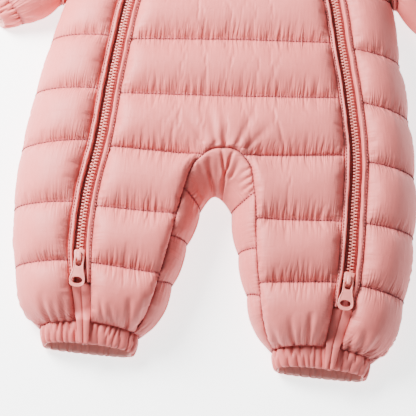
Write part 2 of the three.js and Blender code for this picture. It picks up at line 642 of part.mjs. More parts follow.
function backHalf(wall, side) {
  const foot = (from) => BACK_TURNS.map((t) => mix(from, -Math.PI / 2, t));
  const sideColumns = (y) => {
    if (y >= ARMPIT.y) return foot(0).map((turn) => column(ARMHOLE, "half", y) - SEAM - turnedIn(turn));
    return foot(underTurn(y) - UNDER_GAP).map((turn) => sideHalf(y) - turnedIn(turn));
  };
  const legRows = gussetRows();
  const apex = legRows.length - 1;
  const sideEdges = [ANKLE.end, ...SIDE_ROWS.map(({ edge }) => edge)];
  const legs = legRows.map((row, j) => {
    const arch = j - GUSSET_ROWS.length * CHANNEL.length;
    const y = arch >= 0 ? mix(sideEdges[3], sideEdges[4], arch / (apex - j + arch))
      : mix(sideEdges[row.k], sideEdges[row.next], row.f);
    const inner = foot(UNDER_TURN - UNDER_GAP).reverse().map((turn) => underGap(row, turn).at);
    const outer = sideColumns(y).map((x) => [x, y]);
    const field = BACK_FIELD.map((t) => {
      return [0, 1].map((i) => mix(outer[2][i], inner[0][i], t));
    });
    return [...outer, ...field, ...inner];
  });
  const lastRow = BACK_ROWS.length - 1;
  const torso = BACK_ROWS.map(({ side: y, middle }, j) => {
    const outer = sideColumns(y);
    const xs = [...outer, ...BACK_FIELD.map((t) => mix(outer[2], 0, t)), 0];
    return xs.map((x, i) => {
      const share = clamp(1 - x / outer[0]);
      const level = mix(y, middle, share);
      const top = x > NECK.half ? shoulderLine(x) : backNeck(x);
      const bend = ease((j - (lastRow - 4)) / 4);
      return [x, i < 1 ? y : mix(level, top - (BACK_ROWS[lastRow].side - y), bend)];
    });
  });
  const rows = [...legs, ...torso];
  const corners = rows.map((row, j) => row.map(([x, y], i) => {
    const place = below(side * x, y);
    const { outside, inside } = y >= ARMPIT.y && i === 0 ? onArmhole(place, -SEAM) : place;
    const onMiddle = (j === apex && i >= 5) || (j > apex && i === 5);
    const key = `${onMiddle ? "middle" : side} ${j} ${i}`;
    return wall.corner(key, outside, key, inside);
  }));
  wall.grid(corners, side < 0, false);
}

function back() {
  const wall = new Wall();
  for (const side of [-1, 1]) backHalf(wall, side);
  addMesh("back", wall.geometry(), CLOTH);
}

const SLEEVE_TOP = [0, 0.05, 0.17, 0.36, 0.6, 0.82, 0.95, 1];
const SLEEVE_UNDER = [0.86, 0.5, 0.14];
const SLEEVE_ROUND = { under: 0.45, over: 0.4 };

// A sleeve, as rings from the armhole to the wrist. Each ring runs over the top and back underneath.
function sleeve(side) {
  const wall = new Wall();
  const list = stations(SLEEVE_ROWS.length - 1);
  const sections = list.map(({ k, f, next }) => {
    const [a, b] = [SLEEVE_ROWS[k], SLEEVE_ROWS[next]];
    const t = { under: mix(a.under, b.under, f), over: mix(a.over, b.over, f) };
    const line = (q) => {
      const along = mix(t.under, t.over, q);
      const root = mix(ARMPIT.y, SHOULDER.y, q);
      const start = [column(ARMHOLE, "half", root) + SEAM, root];
      const end = [0, 1].map((i) => mix(SLEEVE.under[i], SLEEVE.over[i], q));
      return [mix(start[0], end[0], along), mix(start[1], end[1], along)];
    };
    const [u, o] = [line(0), line(1)];
    const long = Math.hypot(o[0] - u[0], o[1] - u[1]);
    const round = {
      under: Math.min(ROUND.side, SLEEVE_ROUND.under * long),
      over: Math.min(ROUND.shoulder, SLEEVE_ROUND.over * long),
    };
    const inward = [(o[0] - u[0]) / long, (o[1] - u[1]) / long];
    const point = (q, isTop) => {
      const [x, y] = line(q);
      const blend = ease(mix(t.under, t.over, q) * 1.6);
      const top = mix(topAt(y), mix(SLEEVE.widest, SLEEVE.wrist, mix(t.under, t.over, q)), blend);
      const ends = [q * long, (1 - q) * long];
      const own = isTop ? rise(ends[0] / round.under) * rise(ends[1] / round.over)
        : Math.min(rise(ends[0] / ROUND.under), rise(ends[1] / ROUND.under));
      const share = isTop ? mix(swell(x, y), own, blend) : own;
      const within = isTop ? [round.under, round.over] : [ROUND.under, ROUND.under];
      const move = EDGE_WALL * (clamp(ends[1] / within[1]) - clamp(ends[0] / within[0]));
      const [inX, inY] = line(clamp(q + move / long));
      const puff = isTop ? PUFF.sleeve * puffAcross(f) * mix(EDGE_PUFF, 1, Math.sqrt(4 * q * (1 - q))) : 0;
      const rim = top * SHARE.rim;
      const faces = isTop ? [mix(rim, top, share), mix(rim, top * SHARE.ceiling, share)]
        : [rim * (1 - share), mix(rim, top * SHARE.floor, share)];
      const outward = isTop ? Math.sign(q - 0.5) * puff * (1 - share) : 0;
      return {
        outside: [side * (x + inward[0] * outward), y + inward[1] * outward, faces[0] + puff * share],
        inside: [side * inX, inY, faces[1]],
      };
    };
    return [...SLEEVE_TOP.map((q) => point(q, true)), ...SLEEVE_UNDER.map((q) => point(q, false))];
  });
  const seamRow = seamRows(list);
  const corners = sections.map((section, j) => {
    const ring = section.map((place, i) => {
      const inside = sections[seamRow[j]][i].inside;
      return wall.corner(`${j} ${i}`, place.outside, `${seamRow[j]} ${i}`, inside);
    });
    return [...ring, ring[0]];
  });
  wall.grid(corners, side > 0);
  addMesh(side < 0 ? "sleeve_left" : "sleeve_right", wall.geometry(), CLOTH);
}

// The flattened oval of a cuff, as points evenly spaced round it, each with its outward direction.
function oval(half, top, count) {
  const many = 240;
  const loop = Array.from({ length: many + 1 }, (_, i) => {
    const a = (2 * Math.PI * i) / many;
    const [c, s] = [Math.cos(a), Math.sin(a)];
    const z = s > 0 ? mix(SHARE.rim, 1, s ** 0.75) * top : SHARE.rim * (1 - (-s) ** 0.5) * top;
    return [half * Math.sign(c) * Math.abs(c) ** 0.85, z];
  });
  const path = new Path(loop);
  return Array.from({ length: count }, (_, i) => {
    const length = (path.length * i) / count;
    const [x, z] = path.at(length);
    const [p, q] = [path.at((length + path.length - 1) % path.length), path.at((length + 1) % path.length)];
    const long = Math.hypot(q[0] - p[0], q[1] - p[1]);
    return { x, z, out: [(q[1] - p[1]) / long, -(q[0] - p[0]) / long] };
  });
}

// A gathered casing of elastic. place turns a distance across and along the cuff into a plan point.
const CUFF_RINGS = [
  { along: 0, bulge: 0 }, { along: 0.14, bulge: 0.8 }, { along: 0.5, bulge: 1 },
  { along: 0.86, bulge: 0.8 }, { along: 1, bulge: 0 },
];

function cuff(name, size, flip, place) {
  const wall = new Wall();
  const count = size.gathers * 2;
  const rings = CUFF_RINGS.map(({ along, bulge }, r) => {
    const [half, top] = [mix(size.half, size.mouthHalf, along), mix(size.top, size.mouthTop, along)];
    const insideRow = along > 0.5 ? CUFF_RINGS.length - 1 : 0;
    const outer = oval(half - GATHER.bulge, top - GATHER.bulge, count);
    const corners = outer.map(({ x, z, out }, i) => {
      const under = z < 1;
      const wave = i % 2 ? -GATHER.depth / 2 : GATHER.depth / 2;
      const move = under ? 0 : GATHER.bulge * bulge + wave;
      const ring = insideRow === 0 ? 0 : 1;
      const owner = i - (i % 2);
      const inside = oval(mix(size.half, size.mouthHalf, ring) - GATHER.bulge - size.wall,
        mix(size.top, size.mouthTop, ring) - GATHER.bulge - 2 * size.wall, count)[owner];
      const outside = [...place(x + out[0] * move, along * size.length), Math.max(0, z + out[1] * move)];
      return wall.corner(`${r} ${i}`, outside,
        `${insideRow} ${owner}`, [...place(inside.x, ring * size.length), inside.z + size.wall]);
    });
    return [...corners, corners[0]];
  });
  wall.grid(rings, flip);
  addMesh(name, wall.geometry(), CUFF_CLOTH);
}

function cuffs() {
  for (const side of [-1, 1]) {
    const name = side < 0 ? "left" : "right";
    cuff(`ankle_cuff_${name}`, ANKLE, false, (across, along) => {
      return [side * ANKLE.middle + across, ANKLE.end - ANKLE.gap - along];
    });
    const middle = [0, 1].map((i) => (SLEEVE.under[i] + SLEEVE.over[i]) / 2);
    cuff(`wrist_cuff_${name}`, WRIST, side < 0, (across, along) => [
      side * (middle[0] - SLEEVE_DIR[1] * across + SLEEVE_DIR[0] * (along + WRIST.gap)),
      middle[1] + SLEEVE_DIR[0] * across + SLEEVE_DIR[1] * (along + WRIST.gap),
    ]);
  }
}

const collarTop = (x) => mix(COLLAR.frontTop, COLLAR.sideTop, clamp(Math.abs(x) / COLLAR.half) ** 2);
const COLLAR_ROWS = [
  { up: 0, puff: 0 }, { up: 0.25, puff: 1 }, { up: 0.5, puff: 0.1 }, { up: 0.75, puff: 1 }, { up: 1, puff: 0 },
];

// The collar between the zips.
function collarFront() {
  const wall = new Wall();
  const across = [-1, -0.72, -0.6, -0.25, 0.25, 0.6, 0.72, 1];
  const corners = COLLAR_ROWS.map(({ up, puff }, j) => across.map((u, i) => {
    const guess = mix(NECK.zipIn + 5, COLLAR.frontTop, up);
    const x = u * (column(ZIP_LINE, "half", guess) - LEDGE.half - 2);
    const y = mix(frontNeck(x) + NECK.gap, collarTop(x), up);
    const low = ledgeZ(Math.sign(x), y) - COLLAR.under;
    const z = low + (Math.abs(u) < 0.7 ? LEDGE.drop + PUFF.collar * puff : 0);
    return wall.corner(`${j} ${i}`, [x, y, z], `${j} ${i}`, [x, y, low - COLLAR.frontWall]);
  }));
  wall.grid(corners);
  addMesh("collar_front", wall.geometry(), CLOTH);
}

// The collar from zip to zip round the back. turn is 0 beside the zip, 1 at the fold, 2 at the middle.
const COLLAR_TURNS = [0, 0.4, 0.8, 1, 1.2, 1.5];
const COLLAR_DROP = 0.6; // the front of the collar starts to drop to the fold here

function collarBack() {
  const wall = new Wall();
  const half = (side) => COLLAR_TURNS.map((turn) => ({ turn, side }));
  const around = [...half(-1), { turn: 2, side: 1 }, ...half(1).reverse()];
  const corners = COLLAR_ROWS.map(({ up }, j) => around.map(({ turn, side }, i) => {
    const fold = mix(NECK.half, COLLAR.half, up);
    const zip = column(ZIP_LINE, "half", mix(NECK.zipOut, COLLAR.frontTop, up)) + LEDGE.half;
    const top = topAt(mix(NECK.sideY, COLLAR.sideTop, up));
    const isFront = turn < 1;
    const x = isFront ? mix(zip, fold, turn) : mix(fold, 0, (turn - 1));
    const foldTurn = turn === 1;
    const seam = isFront ? Math.max(NECK.zipOut, frontNeck(x)) + NECK.gap
      : (foldTurn ? NECK.sideY : backNeck(x)) + 1.5 * NECK.gap;
    const edge = isFront ? collarTop(x) : mix(COLLAR.sideTop, COLLAR.backTop, turn - 1);
    const y = mix(seam, edge, up);
    const low = ledgeZ(side, mix(NECK.zipOut, collarTop(zip), up)) - COLLAR.under;
    const rim = top * SHARE.rim;
    const over = mix(low, rim, Math.max(0, turn - COLLAR_DROP));
    const z = isFront ? over : foldTurn ? rim : 0;
    const inX = x - (Math.abs(turn - 1) < 0.3 ? COLLAR.wall * (foldTurn ? 1 : 0.6) : 0);
    const inZ = isFront ? over - COLLAR.wall : foldTurn ? rim : COLLAR.wall;
    return wall.corner(`${j} ${i}`, [side * x, y, z], `${j} ${i}`, [side * inX, y, inZ]);
  }));
  wall.grid(corners, true);
  addMesh("collar_back", wall.geometry(), CLOTH);
}

// A strip that follows a zip. offsets are distances from the zip's middle, positive away from the
// garment's middle, with the height of the strip's top face over the ledge there.
function strip(name, side, ys, offsets, lift, material, zAt = ledgeZ) {
  const wall = new Wall();
  const corners = ys.map((y, j) => offsets.map(({ off, high }, i) => {
    const x = zipX(side, y) + side * off(y);
    const z = zAt(side, y) + lift;
    return wall.corner(`${j} ${i}`, [x, y, z + high], `${j} ${i}`, [x, y, z]);
  }));
  wall.grid(corners, side < 0);
  addMesh(name, wall.geometry(), material);
}

function zip(side) {
  const name = side < 0 ? "left" : "right";
  const runs = (from, to, step = ZIP.step) => {
    const count = Math.round((to - from) / step);
    return Array.from({ length: count + 1 }, (_, i) => mix(from, to, i / count));
  };
  const ys = runs(ZIP.foot, ZIP.curveY).concat(runs(ZIP.curveY, ZIP.top, ZIP.curveStep).slice(1));
  const flat = (half, high) => [-half, half].map((off) => ({ off: () => off, high }));
  for (const out of [-1, 1]) {
    const edge = (y) => stripHalf(y) - 2 * LEDGE.step;
    const at = (share, high) => ({ off: (y) => out * mix(WELT.inner, edge(y), share), high });
    const faces = [at(0, WELT.high * 0.6), at(0.35, WELT.crown), at(1, WELT.high)];
    strip(`welt_${out < 0 ? "inner" : "outer"}_${name}`, side, ys, out < 0 ? faces.reverse() : faces,
      WELT.lift, CLOTH);
  }
  strip(`zip_tape_${name}`, side, ys, flat(TAPE.half, TAPE.thick), TAPE.lift, TAPE_CLOTH);
  const chainYs = [ZIP.chainFoot, ...ys.filter((y) => y > ZIP.chainFoot + 5)];
  strip(`zip_chain_${name}`, side, chainYs, flat(CHAIN.half, CHAIN.thick), CHAIN.lift, TEETH);
  placket(side, name);
  slider(side, name);
}

// The placket strip from the zip's foot to the ankle's mouth, over the cuff.
function placket(side, name) {
  const cuffStart = ANKLE.end;
  const { climb } = PLACKET;
  const ys = [PLACKET.mouth, cuffStart - 10, cuffStart - 4, cuffStart + 1, cuffStart + climb, -98,
    PLACKET.top];
  const overCuff = (y) => mix(ANKLE.top, ANKLE.mouthTop, (cuffStart - y) / ANKLE.length) + GATHER.depth / 2;
  const zAt = (_, y) => {
    const ledge = ledgeZ(side, y);
    const casing = overCuff(Math.min(y, cuffStart));
    return Math.max(ledge, mix(ledge, casing, ease((cuffStart + climb - y) / climb)));
  };
  const half = (y) => (
    mix(PLACKET.mouthHalf, stripHalf(y) - 2 * LEDGE.step, clamp((y - PLACKET.mouth) / PLACKET.taper)));
  strip(`placket_${name}`, side, ys, [-1, -0.5, 0, 0.5, 1].map((u) => ({
    off: (y) => u * half(y), high: Math.abs(u) === 0.5 ? PLACKET.thick : PLACKET.edgeThick,
  })), PLACKET.lift, CLOTH, zAt);
}

// A closed solid from a three.js geometry, and back.
function solid(geometry) {
  geometry.deleteAttribute("normal");
  geometry.deleteAttribute("uv");
  const merged = mergeVertices(geometry, 1e-4);
  return new wasm.Manifold(new wasm.Mesh({
    numProp: 3, vertProperties: merged.attributes.position.array, triVerts: merged.index.array,
  }));
}

function fromSolid(body) {
  const mesh = body.getMesh();
  const geometry = new THREE.BufferGeometry();
  geometry.setAttribute("position", new THREE.BufferAttribute(mesh.vertProperties, 3));
  geometry.setIndex(new THREE.BufferAttribute(mesh.triVerts, 1));
  return geometry;
}

const extruded = (shape, depth, curveSegments = 6) => (
  new THREE.ExtrudeGeometry(shape, { depth, bevelEnabled: false, curveSegments }));

// The pull's hinge, on the slider's bridge.
function hinge(side) {
  const [x, y] = laid([zipX(side, PULL.axisY), PULL.axisY, 0]);
  const z = ledgeZ(side, SLIDER.top) + SLIDER.lift + SLIDER.thick + AXIS_OVER_SLIDER;
  return new THREE.Vector3(x, y, z);
}

// The slider's body with its bridge, and the pull tab that turns in the bridge.
function slider(side, name) {
  const pin = hinge(side);
  const topY = laid([pin.x, SLIDER.top, 0])[1] - pin.y;
  const [wide, narrow] = [SLIDER.wide / 2, SLIDER.narrow / 2];
  const outline = new THREE.Shape();
  outline.moveTo(-wide + 1.5, topY);
  outline.lineTo(-wide, topY - 1.5);
  outline.lineTo(-wide, topY - SLIDER.length * 0.45);
  outline.lineTo(-narrow, topY - SLIDER.length + 1.5);
  outline.lineTo(-narrow + 1.5, topY - SLIDER.length);
  outline.lineTo(narrow - 1.5, topY - SLIDER.length);
  outline.lineTo(narrow, topY - SLIDER.length + 1.5);
  outline.lineTo(wide, topY - SLIDER.length * 0.45);
  outline.lineTo(wide, topY - 1.5);
  outline.lineTo(wide - 1.5, topY);
  const plate = extruded(outline, SLIDER.thick);
  plate.translate(0, 0, -AXIS_OVER_SLIDER - SLIDER.thick);

  const arch = new THREE.Shape();
  const foot = -AXIS_OVER_SLIDER - 1;
  const crown = BRIDGE.rise + BRIDGE.bar;
  arch.moveTo(-BRIDGE.half, foot);
  arch.lineTo(-BRIDGE.half, 0);
  arch.quadraticCurveTo(-BRIDGE.half, crown, -BRIDGE.window, crown);
  arch.lineTo(BRIDGE.window, crown);
  arch.quadraticCurveTo(BRIDGE.half, crown, BRIDGE.half, 0);
  arch.lineTo(BRIDGE.half, foot);
  arch.lineTo(BRIDGE.window, foot);
  arch.lineTo(BRIDGE.window, BRIDGE.rise);
  arch.lineTo(-BRIDGE.window, BRIDGE.rise);
  arch.lineTo(-BRIDGE.window, foot);
  const bridge = extruded(arch, BRIDGE.wide);
  bridge.translate(0, 0, -BRIDGE.wide / 2);
  bridge.rotateY(Math.PI / 2);
  bridge.rotateX(Math.PI / 2);

  const body = fromSolid(solid(plate).add(solid(bridge)));
  const along = zipX(side, SLIDER.top) - zipX(side, SLIDER.top - SLIDER.length);
  body.rotateZ(-Math.atan2(along, SLIDER.length));
  body.translate(pin.x, pin.y, pin.z);
  addMesh(`zip_slider_${name}`, body, ENAMEL);

  const tab = new THREE.Shape();
  const end = -PULL.length;
  tab.moveTo(-PULL.topHalf + 1, PULL.bar);
  tab.quadraticCurveTo(-PULL.topHalf, PULL.bar, -PULL.topHalf, PULL.bar - 1.4);
  tab.lineTo(-PULL.topHalf, -PULL_SLOT.to);
  tab.bezierCurveTo(-PULL.topHalf, end * 0.5, -PULL.footHalf, end * 0.6, -PULL.footHalf, end * 0.78);
  tab.bezierCurveTo(-PULL.footHalf, end * 0.95, -PULL.footHalf * 0.6, end, 0, end);
  tab.bezierCurveTo(PULL.footHalf * 0.6, end, PULL.footHalf, end * 0.95, PULL.footHalf, end * 0.78);
  tab.bezierCurveTo(PULL.footHalf, end * 0.6, PULL.topHalf, end * 0.5, PULL.topHalf, -PULL_SLOT.to);
  tab.lineTo(PULL.topHalf, PULL.bar - 1.4);
  tab.quadraticCurveTo(PULL.topHalf, PULL.bar, PULL.topHalf - 1, PULL.bar);
  const slot = new THREE.Path();
  slot.moveTo(-PULL_SLOT.half, -PULL_SLOT.from);
  slot.lineTo(PULL_SLOT.half, -PULL_SLOT.from);
  slot.lineTo(PULL_SLOT.half, 1 - PULL_SLOT.to);
  slot.quadraticCurveTo(0, -1 - PULL_SLOT.to, -PULL_SLOT.half, 1 - PULL_SLOT.to);
  const hole = new THREE.Path();
  hole.absellipse(0, -PULL_HOLE.middle, PULL_HOLE.half, PULL_HOLE.high, 0, Math.PI * 2);
  tab.holes.push(slot, hole);
  const pull = extruded(tab, PULL.thick, 6);
  pull.translate(0, 0, -PULL.thick / 2);
  pull.rotateX((PULL.tilt * Math.PI) / 180);
  pull.rotateZ((-PULL_LEAN[name] * Math.PI) / 180);
  pull.translate(pin.x, pin.y, pin.z);
  addMesh(`zip_pull_${name}`, pull, ENAMEL);
}

frontCentre();
gusset();
back();
cuffs();
collarFront();
collarBack();
for (const side of [-1, 1]) {
  sidePanel(side);
  sleeve(side);
  zip(side);
}

export default group;
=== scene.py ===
"""A quilted baby snowsuit lying flat on its back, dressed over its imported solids.

The shape classes work in millimetres from near the crotch seam, +Y to the neck and +Z up.
in_metres moves their points into the part's own frame.
"""

import logging
import math
from dataclasses import dataclass, field
from enum import Enum

import bmesh
import bpy
import numpy as np
from mathutils import Matrix, Vector


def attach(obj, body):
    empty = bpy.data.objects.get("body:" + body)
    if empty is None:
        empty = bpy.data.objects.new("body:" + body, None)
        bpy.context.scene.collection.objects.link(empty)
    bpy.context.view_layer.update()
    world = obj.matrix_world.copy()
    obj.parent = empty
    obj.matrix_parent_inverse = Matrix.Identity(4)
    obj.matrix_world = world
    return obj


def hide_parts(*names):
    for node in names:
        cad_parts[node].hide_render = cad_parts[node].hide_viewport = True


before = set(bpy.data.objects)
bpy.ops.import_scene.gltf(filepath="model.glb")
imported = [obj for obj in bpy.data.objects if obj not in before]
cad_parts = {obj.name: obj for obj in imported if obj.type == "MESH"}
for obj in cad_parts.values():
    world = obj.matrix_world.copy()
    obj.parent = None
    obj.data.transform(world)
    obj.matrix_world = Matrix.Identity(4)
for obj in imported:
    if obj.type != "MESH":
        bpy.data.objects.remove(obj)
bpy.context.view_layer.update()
LOG = logging.getLogger("snowsuit")
Array = np.ndarray
Number = float | Array

MM = 0.001
SHIFT_Y = -111.04
SEAM = 0.3


def mix(a: Number, b: Number, t: Number) -> Number:
    """The value t of the way from a to b."""
    return a + (b - a) * t


def clamp(t: Number) -> Number:
    """The value held between 0 and 1."""
    return np.clip(t, 0.0, 1.0)


def ease(t: Number) -> Number:
    """A smooth step from 0 to 1."""
    t = clamp(t)
    return t * t * (3 - 2 * t)


def rise(q: Number) -> Number:
    """A quarter round that climbs from 0 to 1."""
    return np.sqrt(np.maximum(0.0, 1 - (1 - clamp(q)) ** 2))


@dataclass(frozen=True)
class Curve:
    """A smooth column of a table, by height along the suit.

    Args:
        ys: Heights, rising.
        values: The column's value at each.
    """

    ys: tuple[float, ...]
    values: tuple[float, ...]

    def at(self, y: Number) -> Array:
        """The column's value at y."""
        ys, values = np.array(self.ys), np.array(self.values)
        last = len(ys) - 1
        low = np.maximum(np.arange(last + 1) - 1, 0)
        high = np.minimum(np.arange(last + 1) + 1, last)
        slopes = (values[high] - values[low]) / (ys[high] - ys[low])
        y = np.clip(np.asarray(y, float), ys[0], ys[-1])
        i = np.clip(np.searchsorted(ys, y) - 1, 0, last - 1)
        h = ys[i + 1] - ys[i]
        t = (y - ys[i]) / h
        return ((2 * t**3 - 3 * t**2 + 1) * values[i] + (t**3 - 2 * t**2 + t) * h * slopes[i]
                + (3 * t**2 - 2 * t**3) * values[i + 1] + (t**3 - t**2) * h * slopes[i + 1])


class Path:
    """A line through plan points, with the garment on its left."""

    def __init__(self, points: Array) -> None:
        """Args:
            points: Plan points in order, one to a row.
        """
        self.points = np.asarray(points, float)
        steps = np.hypot(*np.diff(self.points, axis=0).T)
        self.lengths = np.concatenate([[0.0], np.cumsum(steps)])

    @property
    def length(self) -> float:
        """The whole length."""
        return float(self.lengths[-1])

    def at(self, length: Number) -> tuple[Array, Array]:
        """The plan point a length along the line."""
        return (np.interp(length, self.lengths, self.points[:, 0]),
                np.interp(length, self.lengths, self.points[:, 1]))

    def length_at_y(self, y: float) -> float:
        """The length at which a line that climbs reaches y."""
        return float(np.interp(y, self.points[:, 1], self.lengths))

    def nearest(self, x: Number, y: Number) -> tuple[Array, Array, Array]:
        """How far plan points are from the line.

        Args:
            x: Across.
            y: Along the suit.

        Returns:
            The distances, and the two parts of the direction from the nearest stretch into the
            garment.
        """
        x, y = np.broadcast_arrays(np.asarray(x, float), np.asarray(y, float))
        best = np.full(x.shape, np.inf)
        nx, ny = np.zeros(x.shape), np.ones(x.shape)
        for (ax, ay), (bx, by) in zip(self.points[:-1], self.points[1:]):
            dx, dy = bx - ax, by - ay
            long = math.hypot(dx, dy)
            t = clamp(((x - ax) * dx + (y - ay) * dy) / long**2)
            distance = np.hypot(x - ax - t * dx, y - ay - t * dy)
            closer = distance < best
            best = np.where(closer, distance, best)
            nx = np.where(closer, -dy / long, nx)
            ny = np.where(closer, dx / long, ny)
        return best, nx, ny


def traced(half: "callable", foot: float, top: float, steps: int) -> Array:
    """Plan points of a half-width function, closer together towards its rounded top."""
    y = mix(foot, top, np.sin(np.pi / 2 * np.arange(steps + 1) / steps))
    return np.column_stack([half(y), y])


class Suit:
    """The laid suit's outline, heights and seams, which every piece takes its place from."""

    SIDE = Curve((-119, -112, -104, -92, -70, -36, 17, 70, 120, 155, 190, 203),
                 (143, 152, 158, 163, 167, 172, 174, 169.5, 162, 155.5, 149.5, 147))
    LEG_INSIDE = Curve((-119, -112, -104, -92, -71, -56, -33, -14), (56, 49, 43.5, 37.5, 32, 27.5, 22, 16))
    CROTCH_Y, ARCH_FOOT, ARCH_HALF = 12.5, -14.0, 16.0
    GUSSET_SEAM = Curve((-119, -110, -93, -70, -40, -14, 10, 28), (60, 54, 47.5, 42.6, 37.5, 34, 29.7, 26.2))
    GUSSET_TOP, GUSSET_SPRING, GUSSET_HALF, GUSSET_LEAN = 51.0, 28.0, 26.2, 0.16
    ARMHOLE = Curve((203, 225, 255, 290, 320), (147, 139, 129.5, 122.5, 120))
    ARMPIT, SHOULDER = (147.0, 203.0), (120.0, 320.0)
    NECK_HALF, NECK_FRONT, NECK_BACK, NECK_SIDE = 50.0, 306.0, 330.0, 337.0
    ZIP_IN, ZIP_OUT = 317.0, 331.2
    ZIP_YS = (-137, -116, -86, -50, 0, 50, 100, 150, 200, 260, 300, 318, 346)
    ZIP_HALF = Curve(ZIP_YS, (104, 106.6, 111.5, 115.5, 115.2, 111.4, 106, 98.7, 90, 71, 50, 39, 31))
    ZIP_SHIFT = Curve(ZIP_YS, (1.5, 1.5, 2.5, 3, 4.5, 8, 6.8, 4.7, 2.6, 1, 0, 0, 0))
    MIDDLE_SHIFT = Curve((-119, -40, 10, 51, 100, 150, 200, 260, 306), (-2, 0.5, 2.5, 5, 6.5, 5, 3, 1, 0))
    FRONT_TOP = Curve((-137, -119, -110, -98, -80, -60, 0, 100, 200, 260, 300, 330, 362),
                      (26, 29, 33.5, 38, 41.5, 43.5, 46, 47, 43.5, 41, 37, 32, 26))
    STRIP_HALF = Curve((-119, -86, -62), (6.6, 8.6, 10))
    LEDGE_DROP = 4.4
    RIM = 0.39
    ROUND_SIDE, ROUND_GAP, ROUND_SHOULDER, ROUND_UNDER = 52.0, 34.0, 30.0, 16.0
    UNDER_TURN = math.radians(-55)
    ARMPIT_EASE, ANKLE_EASE = 40.0, 25.0
    SLEEVE_UNDER, SLEEVE_OVER = (185.5, 176.3), (224.0, 230.0)
    SLEEVE_DIR = (math.cos(math.radians(36)), -math.sin(math.radians(36)))
    ANKLE_END, ANKLE_MIDDLE, ANKLE_HALF, ANKLE_LENGTH = -119.5, 99.5, 43.0, 15.0
    BOW, BOW_FROM = 4.5, -60.0

    def __init__(self) -> None:
        """Traces the outline's paths."""
        far = 60.0
        beyond = [(x + self.SLEEVE_DIR[0] * far, y + self.SLEEVE_DIR[1] * far)
                  for x, y in (self.SLEEVE_UNDER, self.SLEEVE_OVER)]
        ys = np.linspace(-150, self.ARMPIT[1], 41)
        self.outer = Path(np.vstack([np.column_stack([self.SIDE.at(ys), ys]), self.SLEEVE_UNDER, beyond[0]]))
        self.gap_climb = Path(traced(self.leg_inside, self.ANKLE_END, self.CROTCH_Y, 48))
        foot = (float(self.leg_inside(np.array(self.ANKLE_END))), -150.0)
        self.gap = Path(np.vstack([self.gap_climb.points[::-1], foot]))
        self.shoulder = Path([beyond[1], self.SLEEVE_OVER, self.SHOULDER, (self.NECK_HALF, self.NECK_SIDE)])
        self.gusset_line = Path(traced(self.gusset_half, self.ANKLE_END, self.GUSSET_TOP, 60))
        self.middle_line = Path(np.vstack([self.gusset_line.points, (0.0, self.NECK_FRONT)]))
        self.edges = ((self.outer, self.ROUND_SIDE), (self.gap, self.ROUND_GAP),
                      (self.shoulder, self.ROUND_SHOULDER))

    def leg_inside(self, y: Number) -> Array:
        """Half the gap between the legs."""
        arch = self.ARCH_HALF * np.sqrt(clamp((self.CROTCH_Y - y) / (self.CROTCH_Y - self.ARCH_FOOT)))
        return np.where(y < self.ARCH_FOOT, self.LEG_INSIDE.at(y), arch)

    def gusset_half(self, y: Number) -> Array:
        """Half the width between the gusset's seams."""
        up = (y - self.GUSSET_SPRING) / (self.GUSSET_TOP - self.GUSSET_SPRING)
        arch = ((self.GUSSET_HALF - self.GUSSET_LEAN * (y - self.GUSSET_SPRING))
                * np.sqrt(clamp(1 - up * up)))
        return np.where(y < self.GUSSET_SPRING, self.GUSSET_SEAM.at(y), arch)

    def zip_x(self, side: int, y: Number) -> Array:
        """The middle of a zip."""
        return side * self.ZIP_HALF.at(y) + self.ZIP_SHIFT.at(y)

    def neck(self, x: Number, back: bool = False) -> Array:
        """The neck seam."""
        low = self.NECK_BACK if back else self.NECK_FRONT
        return mix(low, self.NECK_SIDE, clamp(np.abs(x) / self.NECK_HALF) ** 2)

    def shoulder_y(self, x: Number) -> Array:
        """The shoulder seam."""
        out = (np.abs(x) - self.NECK_HALF) / (self.SHOULDER[0] - self.NECK_HALF)
        return mix(self.NECK_SIDE, self.SHOULDER[1], out)

    def swell(self, x: Number, y: Number) -> Array:
        """How far the front has risen from the rim, from 0 to 1."""
        share = 1.0
        for path, reach in self.edges:
            share = share * rise(path.nearest(np.abs(x), y)[0] / reach)
        return share

    def sink(self, x: Number, y: Number) -> Array:
        """How far the underside has come down from the rim, from 0 to 1."""
        return np.minimum.reduce([rise(path.nearest(np.abs(x), y)[0] / self.ROUND_UNDER)
                                  for path, _ in self.edges])

    def front_z(self, x: Number, y: Number) -> Array:
        """The height of the front's seams."""
        return self.FRONT_TOP.at(y) * mix(self.RIM, 1, self.swell(x, y))

    def ledge_z(self, side: int, y: Number) -> Array:
        """The height that the ledges beside a zip share."""
        x, half = self.zip_x(side, y), self.STRIP_HALF.at(y)
        return np.minimum(self.front_z(x - half, y), self.front_z(x + half, y)) - self.LEDGE_DROP

    def above(self, x: Number, y: Number, puff: Number = 0.0) -> Array:
        """Points of the front, raised along the surface's slope.

        Args:
            x: Across.
            y: Along.
            puff: How far the surface stands over its seams.

        Returns:
            Points, with their three parts last.
        """
        z = self.front_z(x, y)
        nx, ny = z - self.front_z(x + 1, y), z - self.front_z(x, y + 1)
        long = np.sqrt(nx**2 + ny**2 + 1)
        return np.stack(np.broadcast_arrays(x + nx / long * puff, y + ny / long * puff,
                                            z + puff / long + SEAM), axis=-1)

    def below(self, x: Number, y: Number, puff: Number = 0.0, out: tuple[Number, Number] = (0.0, 0.0)) -> Array:
        """Points of the underside, swollen outwards in plan by puff."""
        z = self.FRONT_TOP.at(y) * self.RIM * (1 - self.sink(x, y))
        return np.stack(np.broadcast_arrays(x + out[0] * puff, y + out[1] * puff, z), axis=-1)

